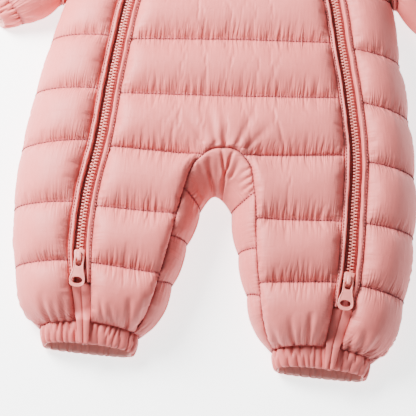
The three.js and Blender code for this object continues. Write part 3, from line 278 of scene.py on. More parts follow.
    def laid(self, points: Array) -> Array:
        """Leans the legs and arms as the suit was laid, and bows the ankle seams.

        Args:
            points: Points, with their three parts last.

        Returns:
            The leaned points.
        """
        x, y = points[..., 0], points[..., 1]
        legs = 0.035 * ease((-10 - y) / 109)
        arms = 0.06 * ease((y - 150) / 50)
        off = clamp(np.abs(np.abs(x) - self.ANKLE_MIDDLE) / self.ANKLE_HALF)
        fade = np.where(y < self.ANKLE_END, clamp(1 - (self.ANKLE_END - y) / self.ANKLE_LENGTH),
                        ease((self.BOW_FROM - y) / (self.BOW_FROM - self.ANKLE_END)))
        moved = self.eased(points)
        moved[..., 1] += x * (arms - legs) + self.BOW * (1 - off**2) * fade
        return moved

    @staticmethod
    def eased(points: Array) -> Array:
        """Points drawn up and apart round the crotch, as the padding there pulls the cloth."""
        x, y = points[..., 0], points[..., 1]
        moved = points.copy()
        moved[..., 0] += 3.0 * np.exp(-(((y + 3) / 15) ** 2) - ((x - 19) / 13) ** 2)
        moved[..., 0] -= 0.2 * (x - 4) * np.exp(-(((y - 41) / 10) ** 2) - ((x - 4) / 38) ** 2)
        moved[..., 1] += 4.6 * np.exp(-(((y - 8) / 17) ** 2) - ((x - 3) / 27) ** 2)
        moved[..., 1] -= 1.5 * np.exp(-(((x - 2) / 5.5) ** 2) - ((y - 10) / 10) ** 2)
        moved[..., 1] -= 4.0 * np.exp(-(((y - 51) / 12) ** 2) - ((x - 4) / 22) ** 2)
        return moved

    def in_metres(self, points: Array) -> Array:
        """Points of the unleaned table in the part's own frame."""
        moved = self.laid(points)
        moved[..., 1] += SHIFT_Y
        return moved * MM


SUIT = Suit()


class Noise:
    """Seeded smooth noise over a plane, from -1 to 1."""

    def __init__(self, seed: int) -> None:
        """Args:
            seed: Picks the pattern.
        """
        self.table = np.random.default_rng(seed).uniform(-1, 1, (128, 128))

    def at(self, a: Number, b: Number) -> Array:
        """The noise at a place, in cells."""
        a, b = np.broadcast_arrays(np.asarray(a, float), np.asarray(b, float))
        i, j = np.floor(a).astype(int), np.floor(b).astype(int)
        s, t = ease(a - i), ease(b - j)
        pick = self.table
        low = mix(pick[i % 128, j % 128], pick[(i + 1) % 128, j % 128], s)
        high = mix(pick[i % 128, (j + 1) % 128], pick[(i + 1) % 128, (j + 1) % 128], s)
        return mix(low, high, t)


class Pucker:
    """Short creases where a seam gathers the cloth, at right angles to it."""

    def __init__(self, seed: int, depth: float = 0.9, spacing: float = 4.3, reach: float = 10.0) -> None:
        """Args:
            seed: Picks the pattern.
            depth: How deep the creases are.
            spacing: How far apart they lie along the seam.
            reach: How far they run from it.
        """
        self.noise = Noise(seed)
        self.depth, self.spacing, self.reach = depth, spacing, reach

    def at(self, along: Number, off: Number, lane: Number = 0.0) -> Array:
        """How deep the cloth dips.

        Args:
            along: Distance along the seam.
            off: Distance from it.
            lane: Tells one seam from another.

        Returns:
            Depths, mostly positive.
        """
        drift = self.noise.at(along / 23, lane * 7.3 + 60) * 0.4
        first = self.noise.at(along / self.spacing + drift * off / 8, off / 60 + lane * 5.7)
        second = self.noise.at(along / self.spacing * 1.8 + 31, off / 30 + lane * 3.1 + 20)
        crease = np.maximum(0, 1 - np.abs(first) / 0.42) ** 1.4 + 0.45 * np.maximum(0, 1 - np.abs(second) / 0.5)
        reach = self.reach * (0.75 + 0.55 * self.noise.at(along / 15 + 9, lane * 2.9 + 40))
        fade = clamp(off / 1.8) * np.exp(-((off / reach) ** 2))
        return self.depth * (crease - 0.45) * fade


@dataclass(frozen=True)
class Crease:
    """A longer fold between two plan points, a dip or, with a negative depth, a ridge."""

    start: tuple[float, float]
    end: tuple[float, float]
    width: float
    depth: float

    def at(self, x: Array, y: Array) -> Array:
        """How deep the cloth dips at plan points."""
        (ax, ay), (bx, by) = self.start, self.end
        dx, dy = bx - ax, by - ay
        held = clamp(((x - ax) * dx + (y - ay) * dy) / (dx * dx + dy * dy))
        off = np.hypot(x - ax - held * dx, y - ay - held * dy)
        wide = self.width * (0.75 + 0.9 * held)
        ridge = 0.4 * np.exp(-((off / wide / 2.3) ** 2))
        return self.depth * (1 - held) ** 0.55 * (np.exp(-((off / wide) ** 2)) - ridge)


def creased(x: Array, y: Array, creases: tuple[Crease, ...]) -> Array:
    """How deep the cloth dips where creases run."""
    return sum(crease.at(x, y) for crease in creases)


def facing(points: Array) -> Array:
    """The outward direction at each point of a grid whose rows climb and columns go right."""
    along = np.gradient(points, axis=0)
    across = np.gradient(points, axis=1)
    normal = np.cross(across, along)
    return normal / np.maximum(1e-9, np.linalg.norm(normal, axis=-1, keepdims=True))


def tucked(points: Array, depth: float = 2.6, spread: float = 0.7) -> Array:
    """Adds a turned-down edge round a grid.

    Args:
        points: Rows, columns and the three parts.
        depth: How far it turns down.
        spread: How far it reaches past the seam as it does.

    Returns:
        The larger grid.
    """
    down = facing(points) * depth
    wide = np.pad(points, ((1, 1), (1, 1), (0, 0)), mode="edge")
    sunk = np.pad(down, ((1, 1), (1, 1), (0, 0)), mode="edge")
    past = np.zeros_like(wide)
    for edge, here, inner in ((np.s_[0], points[0], points[1]), (np.s_[-1], points[-1], points[-2])):
        past[edge, 1:-1] = here - inner
    past[1:-1, 0] = points[:, 0] - points[:, 1]
    past[1:-1, -1] = points[:, -1] - points[:, -2]
    past /= np.maximum(1e-9, np.linalg.norm(past, axis=-1, keepdims=True))
    ring = np.ones(wide.shape[:2], bool)
    ring[1:-1, 1:-1] = False
    wide[ring] += past[ring] * spread - sunk[ring]
    wide[..., 2] = np.maximum(wide[..., 2], 0.0)
    return wide


@dataclass(frozen=True)
class Seams:
    """Where each point of a panel lies from the seams that gather it.

    Args:
        along: Distance along the nearest quilting row.
        off: Distance from it.
        lane: Which row it is.
        far: Distance along the panel's long seams.
        to_long: Distance from the nearest of them.
        side: Which of them it is.
    """

    along: Array
    off: Array
    lane: Array
    far: Array
    to_long: Array
    side: Array
    REACH = 20.0

    def vectors(self) -> Array:
        """Six values at each point of the grid, with nearness in place of distance."""
        near = (np.maximum(0, self.REACH - off) for off in (self.off, self.to_long))
        rows, longs = near
        parts = (self.along, rows, self.lane, self.far, longs, self.side)
        return np.stack(np.broadcast_arrays(*parts), axis=-1).astype(float)


def smooth(obj: bpy.types.Object) -> None:
    """Shades a mesh smooth."""
    obj.data.polygons.foreach_set("use_smooth", np.ones(len(obj.data.polygons), bool))
    obj.data.update()


def shown(name: str, mesh: bpy.types.Mesh) -> bpy.types.Object:
    """Puts a mesh into the scene as an object of the same name."""
    obj = bpy.data.objects.new(name, mesh)
    bpy.context.scene.collection.objects.link(obj)
    return obj


def grid_piece(name: str, points: Array, slit: int | None = None, held: Array | None = None,
               metres: bool = False, extra: Array | None = None,
               seams: Array | None = None, fold: Array | None = None) -> bpy.types.Object:
    """Makes a piece whose faces follow a grid of points.

    Args:
        name: The piece's name.
        points: Rows that climb, columns that go right as seen from outside, and the three parts.
        slit: The column after which the grid is split, where its two sides are not sewn together.
        held: Which points a seam holds, for a piece that is settled later.
        metres: Whether the points are already in the part's own frame.
        extra: A second value at each point, kept for settling.
        seams: Six values at each point, from Seams.vectors, which the finish reads.
        fold: How deep each point is pressed in after settling, in millimetres.

    Returns:
        The piece, with points that meet welded.
    """
    placed = points if metres else SUIT.in_metres(points)
    rows, columns = placed.shape[:2]
    bm = bmesh.new()
    bmesh.ops.create_grid(bm, x_segments=columns - 1, y_segments=rows - 1, size=1.0)
    layers = [bm.verts.layers.float.new(key) for key in ("held", "tight", "fold")]
    rows_at = bm.verts.layers.float_vector.new("row_seam")
    longs_at = bm.verts.layers.float_vector.new("long_seam")
    column_of = {}
    for vert in bm.verts:
        r = round((vert.co.y + 1) / 2 * (rows - 1))
        c = round((vert.co.x + 1) / 2 * (columns - 1))
        column_of[vert] = c
        vert.co = placed[r, c]
        if held is not None:
            vert[layers[0]] = float(held[r, c])
        if extra is not None:
            vert[layers[1]] = float(extra[r, c])
        if fold is not None:
            vert[layers[2]] = float(fold[r, c])
        if seams is not None:
            vert[rows_at], vert[longs_at] = seams[r, c, :3], seams[r, c, 3:]
    if slit is not None:
        middle = [face for face in bm.faces if {column_of[vert] for vert in face.verts} == {slit, slit + 1}]
        bmesh.ops.delete(bm, geom=middle, context="FACES_ONLY")
    bmesh.ops.remove_doubles(bm, verts=bm.verts, dist=1e-6)
    bmesh.ops.dissolve_degenerate(bm, edges=bm.edges, dist=1e-7)
    mesh = bpy.data.meshes.new(name)
    bm.to_mesh(mesh)
    bm.free()
    obj = shown(name, mesh)
    smooth(obj)
    return obj


def repeated(name: str, template: bmesh.types.BMesh, places: Array) -> bpy.types.Object:
    """Makes one piece of many copies of a small shape.

    Args:
        name: The piece's name.
        template: The shape. It is freed.
        places: One four by four matrix for each copy, in metres.

    Returns:
        The piece.
    """
    template.verts.ensure_lookup_table()
    corners = np.array([[*vert.co, 1.0] for vert in template.verts])
    faces = [[vert.index for vert in face.verts] for face in template.faces]
    template.free()
    points = (corners @ places.transpose(0, 2, 1))[..., :3].reshape(-1, 3)
    count = len(corners)
    every = [[index + copy * count for index in face] for copy in range(len(places)) for face in faces]
    mesh = bpy.data.meshes.new(name)
    mesh.from_pydata(points.tolist(), [], every)
    obj = shown(name, mesh)
    smooth(obj)
    return obj


def seated(points: Array, ups: Array, spacing: float, skip: float = 0.0) -> Array:
    """Matrices spaced evenly along a line, each with its X along the line and its Z up.

    Args:
        points: The line, in metres.
        ups: The outward direction at each point.
        spacing: Metres between matrices.
        skip: Metres left bare at both ends.

    Returns:
        Four by four matrices.
    """
    steps = np.linalg.norm(np.diff(points, axis=0), axis=1)
    lengths = np.concatenate([[0.0], np.cumsum(steps)])
    count = max(2, int((lengths[-1] - 2 * skip) / spacing) + 1)
    at = np.linspace(skip, lengths[-1] - skip, count)
    where = np.column_stack([np.interp(at, lengths, points[:, i]) for i in range(3)])
    up = np.column_stack([np.interp(at, lengths, ups[:, i]) for i in range(3)])
    ahead = np.gradient(where, axis=0)
    ahead /= np.maximum(1e-12, np.linalg.norm(ahead, axis=1, keepdims=True))
    left = np.cross(up, ahead)
    left /= np.maximum(1e-12, np.linalg.norm(left, axis=1, keepdims=True))
    up = np.cross(ahead, left)
    out = np.tile(np.eye(4), (len(at), 1, 1))
    out[:, :3, 0], out[:, :3, 1], out[:, :3, 2], out[:, :3, 3] = ahead, left, up, where
    return out


class Value:
    """A shader value that takes part in sums."""

    def __init__(self, shader: "Shader", socket: bpy.types.NodeSocket) -> None:
        """Args:
            shader: The material's builder.
            socket: The output that carries the value.
        """
        self.shader, self.socket = shader, socket

    def output(self, index: int) -> "Value":
        """Another output of the same node."""
        return Value(self.shader, self.socket.node.outputs[index])

    def math(self, operation: str, *others: "Value | float") -> "Value":
        """Adds one Math node on this value and others."""
        values = {i: other for i, other in enumerate((self, *others))}
        return self.shader.node("ShaderNodeMath", {"operation": operation}, values)

    def __add__(self, other: "Value | float") -> "Value":
        """The sum."""
        return self.math("ADD", other)

    __radd__ = __add__

    def __mul__(self, other: "Value | float") -> "Value":
        """The product."""
        return self.math("MULTIPLY", other)

    __rmul__ = __mul__

    def __sub__(self, other: "Value | float") -> "Value":
        """The difference."""
        return self.math("SUBTRACT", other)

    def __rsub__(self, other: float) -> "Value":
        """The difference from a number."""
        return (self * -1.0) + other

    def __pow__(self, power: float) -> "Value":
        """The power."""
        return self.math("POWER", power)

    def ramp(self, low: float, high: float, start: float = 0.0, end: float = 1.0) -> "Value":
        """Maps low to high onto start to end, held at both ends."""
        return self.shader.node("ShaderNodeMapRange", {"clamp": True},
                                {"Value": self, "From Min": low, "From Max": high, "To Min": start, "To Max": end})


class Shader:
    """Builds one material's nodes."""

    def __init__(self, name: str) -> None:
        """Args:
            name: The material's name.
        """
        self.material = bpy.data.materials.new(name)
        self.material.use_nodes = True
        self.tree = self.material.node_tree
        self.base = self.tree.nodes["Principled BSDF"]
        self.place = self.node("ShaderNodeTexCoord", output="Object")

    def node(self, kind: str, settings: dict | None = None, inputs: dict | None = None,
             output: str | int = 0) -> Value:
        """Adds a node.

        Args:
            kind: The node's type.
            settings: Its options, set before its sockets.
            inputs: Values or links, by socket name or index.
            output: The output to go on from.

        Returns:
            That output.
        """
        made = self.tree.nodes.new(kind)
        for key, value in (settings or {}).items():
            setattr(made, key, value)
        for key, value in (inputs or {}).items():
            if isinstance(value, Value):
                self.tree.links.new(value.socket, made.inputs[key])
            else:
                made.inputs[key].default_value = value
        return Value(self, made.outputs[output])

    def attribute(self, name: str) -> Value:
        """A vector kept at each point of the piece."""
        return self.node("ShaderNodeAttribute", {"attribute_name": name}, output="Vector")

    def stretched(self, scale: tuple[float, float, float], turn: float = 0.0) -> Value:
        """The piece's own coordinates, stretched by scale and turned in plan."""
        return self.node("ShaderNodeMapping", None,
                         {"Vector": self.place, "Scale": scale, "Rotation": (0.0, 0.0, turn)})

    def noise(self, scale: float, detail: float = 2.0, vector: Value | None = None, **more: float) -> Value:
        """Smooth noise in metres."""
        inputs = {"Vector": vector or self.place, "Scale": scale, "Detail": detail}
        inputs.update({key.capitalize(): value for key, value in more.items()})
        return self.node("ShaderNodeTexNoise", None, inputs)

    def blend(self, factor: Value, low: tuple, high: tuple) -> Value:
        """A colour between two, by factor."""
        made = self.tree.nodes.new("ShaderNodeMix")
        made.data_type = "RGBA"
        self.tree.links.new(factor.socket, made.inputs[0])
        for index, color in ((6, low), (7, high)):
            if isinstance(color, Value):
                self.tree.links.new(color.socket, made.inputs[index])
            else:
                made.inputs[index].default_value = (*color, 1.0)
        return Value(self, made.outputs[2])

    def bump(self, height: Value, distance: float, strength: float = 1.0, over: Value | None = None) -> Value:
        """A bump of a height in metres."""
        inputs = {"Height": height, "Distance": distance, "Strength": strength}
        if over:
            inputs["Normal"] = over
        return self.node("ShaderNodeBump", None, inputs)

    def finish(self, numbers: dict[str, float], links: dict[str, Value]) -> bpy.types.Material:
        """Sets the shader's own numbers and links what varies over the surface."""
        for key, value in numbers.items():
            self.base.inputs[key].default_value = value
        for key, value in links.items():
            self.tree.links.new(value.socket, self.base.inputs[key])
        return self.material


def linear(red: int, green: int, blue: int) -> tuple[float, float, float]:
    """A screen colour as light."""
    return tuple(v / 255 / 12.92 if v < 11 else ((v / 255 + 0.055) / 1.055) ** 2.4 for v in (red, green, blue))


@dataclass(frozen=True)
class Nylon:
    """Downproof nylon with a soft sheen and fine creases."""

    name: str = "downproof_nylon"
    light: tuple[float, float, float] = linear(214, 110, 105)
    deep: tuple[float, float, float] = linear(202, 97, 92)
    # Painted shade: a deeper colour laid along the quilting seams, where shade gathers in the sewn hollows.
    painted_shading: tuple[float, float, float] = linear(160, 56, 58)
    crease: float = 0.0003
    comb: float = 0.0007
    roughness: float = 0.56

    def build(self) -> bpy.types.Material:
        """Makes the material."""
        shader = Shader(self.name)
        cloudy = shader.noise(9.0, 3.0)
        combs, painted_shading = 0.0, 0.0
        for name, strength in (("row_seam", 1.0), ("long_seam", 0.4)):
            parts = shader.node("ShaderNodeSeparateXYZ", None, {"Vector": shader.attribute(name)})
            along, near, lane = parts, parts.output(1), parts.output(2)
            off = 20.0 - near
            place = shader.node("ShaderNodeCombineXYZ", None,
                                {"X": along * 0.28, "Y": off * 0.04, "Z": lane * 3.7})
            lines = (shader.noise(1.0, 1.0, place, roughness=0.5) - 0.5).math("ABSOLUTE").ramp(0.0, 0.16, 1.0, 0.0)
            combs = lines * (off * -0.12).math("EXPONENT") * strength + combs
            # Painted shade mask: full on each seam and gone about a millimetre from it.
            painted_shading = (off * off * -0.7).math("EXPONENT") * strength + painted_shading
        fold = shader.node("ShaderNodeTexNoise", {"noise_type": "RIDGED_MULTIFRACTAL"},
                           {"Vector": shader.stretched((1.0, 0.42, 1.0)), "Scale": 80.0, "Detail": 3.0,
                            "Roughness": 0.45, "Lacunarity": 2.2, "Distortion": 0.7})
        fine = shader.noise(420.0, 3.0, shader.stretched((1.0, 0.35, 1.0), 0.3))
        weave = shader.noise(2600.0, 1.0)
        height = fold * 0.6 + fine * 0.25 + weave * 0.05
        rumpled = shader.bump(height, self.crease)
        gathered = shader.bump(combs * -1.0, self.comb, over=rumpled)
        cloth = shader.blend((cloudy * 0.6 + fine * 0.4).ramp(0.3, 0.72), self.deep, self.light)
        # The cloth is blended towards the painted shade colour next to the seams.
        color = shader.blend(painted_shading.ramp(0.0, 1.0, 0.0, 0.85), cloth, self.painted_shading)
        rough = cloudy.ramp(0.3, 0.7, self.roughness - 0.04, self.roughness + 0.05)
        return shader.finish(
            {"Sheen Weight": 0.08, "Sheen Roughness": 0.4, "Specular IOR Level": 0.32},
            {"Base Color": color, "Roughness": rough, "Normal": gathered})


@dataclass(frozen=True)
class Tape:
    """Woven zip tape."""

    name: str = "woven_tape"
    light: tuple[float, float, float] = linear(188, 88, 85)
    deep: tuple[float, float, float] = linear(150, 60, 59)

    def build(self) -> bpy.types.Material:
        """Makes the material."""
        shader = Shader(self.name)
        warp = shader.node("ShaderNodeTexWave", {"wave_type": "BANDS", "bands_direction": "X"},
                           {"Vector": shader.place, "Scale": 420.0, "Distortion": 0.4, "Detail": 1.0})
        weft = shader.node("ShaderNodeTexWave", {"wave_type": "BANDS", "bands_direction": "Y"},
                           {"Vector": shader.place, "Scale": 520.0, "Distortion": 0.4, "Detail": 1.0})
        weave = warp * weft
        color = shader.blend((weave * 0.7 + shader.noise(60.0) * 0.5).ramp(0.2, 0.9), self.deep, self.light)
        return shader.finish({"Roughness": 0.85, "Sheen Weight": 0.15},
                             {"Base Color": color, "Normal": shader.bump(weave, 0.00018)})


@dataclass(frozen=True)
class Moulded:
    """Tinted plastic of the teeth and the sliders."""

    name: str
    color: tuple[float, float, float]
    roughness: float = 0.36

    def build(self) -> bpy.types.Material:
        """Makes the material."""
        shader = Shader(self.name)
        cloudy = shader.noise(160.0, 2.0)
        grain = shader.noise(1500.0, 2.0)
        deep = tuple(v * 0.86 for v in self.color)
        return shader.finish(
            {"Coat Roughness": 0.25, "Specular IOR Level": 0.5},
            {"Base Color": shader.blend(cloudy.ramp(0.3, 0.7), deep, self.color),
             "Roughness": (cloudy * 0.5 + grain * 0.5).ramp(0.3, 0.7, self.roughness - 0.05, self.roughness + 0.08),
             "Normal": shader.bump(grain, 0.00003)})


@dataclass(frozen=True)
class Thread:
    """Twisted sewing thread, a shade deeper than the cloth."""

    name: str = "sewing_thread"
    light: tuple[float, float, float] = linear(134, 40, 44)
    deep: tuple[float, float, float] = linear(102, 28, 32)

    def build(self) -> bpy.types.Material:
        """Makes the material."""
        shader = Shader(self.name)
        twist = shader.node("ShaderNodeTexWave", {"wave_type": "BANDS", "bands_direction": "DIAGONAL"},
                            {"Vector": shader.place, "Scale": 900.0, "Distortion": 1.0, "Detail": 1.0})
        color = shader.blend(twist.ramp(0.2, 0.9), self.deep, self.light)
        return shader.finish({"Roughness": 0.7, "Sheen Weight": 0.03},
                             {"Base Color": color, "Normal": shader.bump(twist, 0.00008)})


class Wardrobe:
    """The finishes, made once."""

    def __init__(self) -> None:
        """Builds each material."""
        self.nylon = Nylon().build()
        # The casing's last colour is painted light: a paler, greyer tint for its shaded inside, used in place of a seam
        # shade.
        self.casing = Nylon("casing_nylon", linear(208, 103, 98), linear(195, 89, 85),
                            linear(234, 168, 161)).build()
        self.tape = Tape().build()
        self.teeth = Moulded("zip_teeth_plastic", linear(230, 138, 128), 0.3).build()
        self.enamel = Moulded("zip_slider_enamel", linear(226, 126, 118), 0.28).build()
        self.thread = Thread().build()

    @staticmethod
    def dress(obj: bpy.types.Object, material: bpy.types.Material) -> None:
        """Gives a piece its one material."""
        obj.data.materials.clear()
        obj.data.materials.append(material)


GARMENT = "garment"
STITCH_LONG, STITCH_WIDE, STITCH_STEP = 1.25 * MM, 0.55 * MM, 2.9 * MM


def stitch_row(name: str, points: Array, ups: Array, finishes: Wardrobe, skip: float = 1.0) -> bpy.types.Object:
    """Lays stitches along a seam.

    Args:
        name: The piece's name.
        points: The seam's points on the table, in millimetres.
        ups: The outward direction at each.
        finishes: The finishes.
        skip: Millimetres left bare at both ends.

    Returns:
        The piece.
    """
    places = seated(SUIT.in_metres(points + ups * 0.5), ups, STITCH_STEP, skip * MM)
    template = bmesh.new()
    bmesh.ops.create_icosphere(template, subdivisions=1, radius=1.0)
    bmesh.ops.scale(template, vec=(STITCH_LONG, STITCH_WIDE, STITCH_WIDE), verts=template.verts)
    obj = repeated(name, template, places)
    finishes.dress(obj, finishes.thread)
    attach(obj, GARMENT)
    return obj


@dataclass
class Settling:
    """How the padding swells a quilted panel between its seams, in a cloth simulation.

    Args:
        pressure: Push of the padding.
        spare: Share by which the cloth near a seam is longer than the seam that gathers it.
        field_spare: The same in the middle of a channel.
        frames: Steps of the simulation.
        cap: Furthest that a point may move, in metres.
        scale: Enlargement during the simulation, for which the cloth's stiffness is meant.
    """

    pressure: float = 6.0
    spare: float = 0.07
    field_spare: float = 0.015
    frames: int = 13
    cap: float = 3.5 * MM
    scale: float = 10.0

    def run(self, obj: bpy.types.Object) -> None:
        """Settles a piece that keeps its held and tight values from grid_piece."""
        mesh = obj.data
        count = len(mesh.vertices)
        values = {}
        for key in ("held", "tight"):
            values[key] = np.zeros(count, np.float32)
            mesh.attributes[key].data.foreach_get("value", values[key])
        groups = {key: obj.vertex_groups.new(name=key) for key in values}
        groups["held"].add([int(i) for i in np.flatnonzero(values["held"] > 0.5)], 1.0, "REPLACE")
        steps = np.round(values["tight"] * 12).astype(int)
        for step in range(1, 13):
            groups["tight"].add([int(i) for i in np.flatnonzero(steps == step)], step / 12, "REPLACE")
        start = np.zeros(count * 3, np.float32)
        mesh.vertices.foreach_get("co", start)
        mesh.vertices.foreach_set("co", start * self.scale)
        mesh.update()
        cloth = obj.modifiers.new("settle", "CLOTH")
        settings = cloth.settings
        settings.quality = 4
        settings.mass = 0.15
        settings.air_damping = 2.0
        settings.tension_stiffness = settings.compression_stiffness = 22.0
        settings.shear_stiffness = 8.0
        settings.bending_stiffness = 0.12
        settings.tension_damping = settings.compression_damping = settings.shear_damping = 6.0
        settings.use_pressure = True
        settings.uniform_pressure_force = self.pressure
        settings.effector_weights.gravity = 0.0
        settings.vertex_group_mass = "held"
        settings.vertex_group_shrink = "tight"
        settings.shrink_min = -self.field_spare
        settings.shrink_max = -self.spare
        cloth.collision_settings.use_collision = False
        cloth.collision_settings.use_self_collision = False
        cloth.point_cache.frame_start = 1
        cloth.point_cache.frame_end = self.frames
        scene = bpy.context.scene
        for step in range(1, self.frames + 1):
            scene.frame_set(step)
        made = obj.evaluated_get(bpy.context.evaluated_depsgraph_get()).data
        end = np.zeros(count * 3, np.float32)
        made.vertices.foreach_get("co", end)
        move = (end / self.scale - start).reshape(-1, 3)
        long = np.linalg.norm(move, axis=1, keepdims=True)
        LOG.info("%s settled by %.2f mm on average, %.2f at most", obj.name, long.mean() / MM, long.max() / MM)
        move *= np.minimum(1.0, self.cap / np.maximum(long, 1e-9))
        obj.modifiers.remove(cloth)
        mesh.vertices.foreach_set("co", (start.reshape(-1, 3) + move).ravel())
        mesh.update()
        scene.frame_set(1)
        obj.vertex_groups.clear()


def fold_in(obj: bpy.types.Object) -> None:
    """Presses a piece's folds into it."""
    mesh = obj.data
    count = len(mesh.vertices)
    fold, place, normal = np.zeros(count, np.float32), np.zeros(count * 3, np.float32), np.zeros(count * 3, np.float32)
    mesh.attributes["fold"].data.foreach_get("value", fold)
    mesh.vertices.foreach_get("co", place)
    mesh.vertex_normals.foreach_get("vector", normal)
    moved = place.reshape(-1, 3) - normal.reshape(-1, 3) * fold[:, None] * MM
    moved[:, 2] = np.maximum(moved[:, 2], 0.0)
    mesh.vertices.foreach_set("co", moved.ravel())
    mesh.update()


def forget_values(obj: bpy.types.Object) -> None:
    """Drops the values that only shaping used."""
    for key in ("held", "tight", "fold"):
        if key in obj.data.attributes:
            obj.data.attributes.remove(obj.data.attributes[key])


def across_channel(f: Number) -> Array:
    """The puff across a channel, from seam to seam."""
    return np.maximum(0, 1 - np.abs(2 * f - 1) ** 2.4) ** 0.8


def from_seam(distance: Number) -> Array:
    """The puff by distance from a long seam."""
    return np.maximum(0, 1 - (1 - clamp(distance / 16.0)) ** 2) ** 0.6


def seam_lift(y: Number, distance: Number) -> Array:
    """How far the padding carries the cloth up at a distance from the gusset's seam."""
    return 5.0 * ease((y + 114) / 30) * np.exp(-((distance / 11.0) ** 2))


def raised(points: Array, lift: Array) -> Array:
    """Points moved straight up."""
    moved = points.copy()
    moved[..., 2] += lift
    return moved


@dataclass
class Channel:
    """Stations along a quilted piece: the channel's number, and the share of it that is passed."""

    k: Array
    f: Array

    @staticmethod
    def spread(counts: list[int], share: dict[int, Array] | None = None) -> "Channel":
        """Spreads stations over the channels.

        Args:
            counts: How many stations each channel has.
            share: Shares of a channel that are given.

        Returns:
            The stations, with the last seam at the end.
        """
        ks, fs = [], []
        for k, count in enumerate(counts):
            f = share[k] if share and k in share else np.arange(count) / count
            ks += [k] * len(f)
            fs += list(f)
        return Channel(np.array([*ks, len(counts) - 1]), np.array([*fs, 1.0]))

    def between(self, marks: Array) -> Array:
        """The value at each station of marks that stand at the seams."""
        marks = np.asarray(marks, float)
        return mix(marks[self.k], marks[self.k + 1], self.f)

    @property
    def seams(self) -> Array:
        """Which stations are on a seam."""
        return (self.f < 1e-9) | (self.f > 1 - 1e-9)


class Panel:
    """What the quilted panels have in common."""

    ROW_MM = 1.7

    def __init__(self, finishes: Wardrobe, settle: bool) -> None:
        """Args:
            finishes: The finishes.
            settle: Whether the padding is simulated.
        """
        self.finishes, self.settle = finishes, settle

    def finish(self, obj: bpy.types.Object, nodes: tuple[str, ...], fill: float,
               material: bpy.types.Material | None = None, slot: str = "quilted_shell") -> None:
        """Dresses a padded piece and sets its place in the frame."""
        if "fold" in obj.data.attributes:
            fold_in(obj)
        forget_values(obj)
        self.finishes.dress(obj, material or self.finishes.nylon)
        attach(obj, GARMENT)
        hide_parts(*nodes)
        LOG.info("%s: %d faces", obj.name, len(obj.data.polygons))


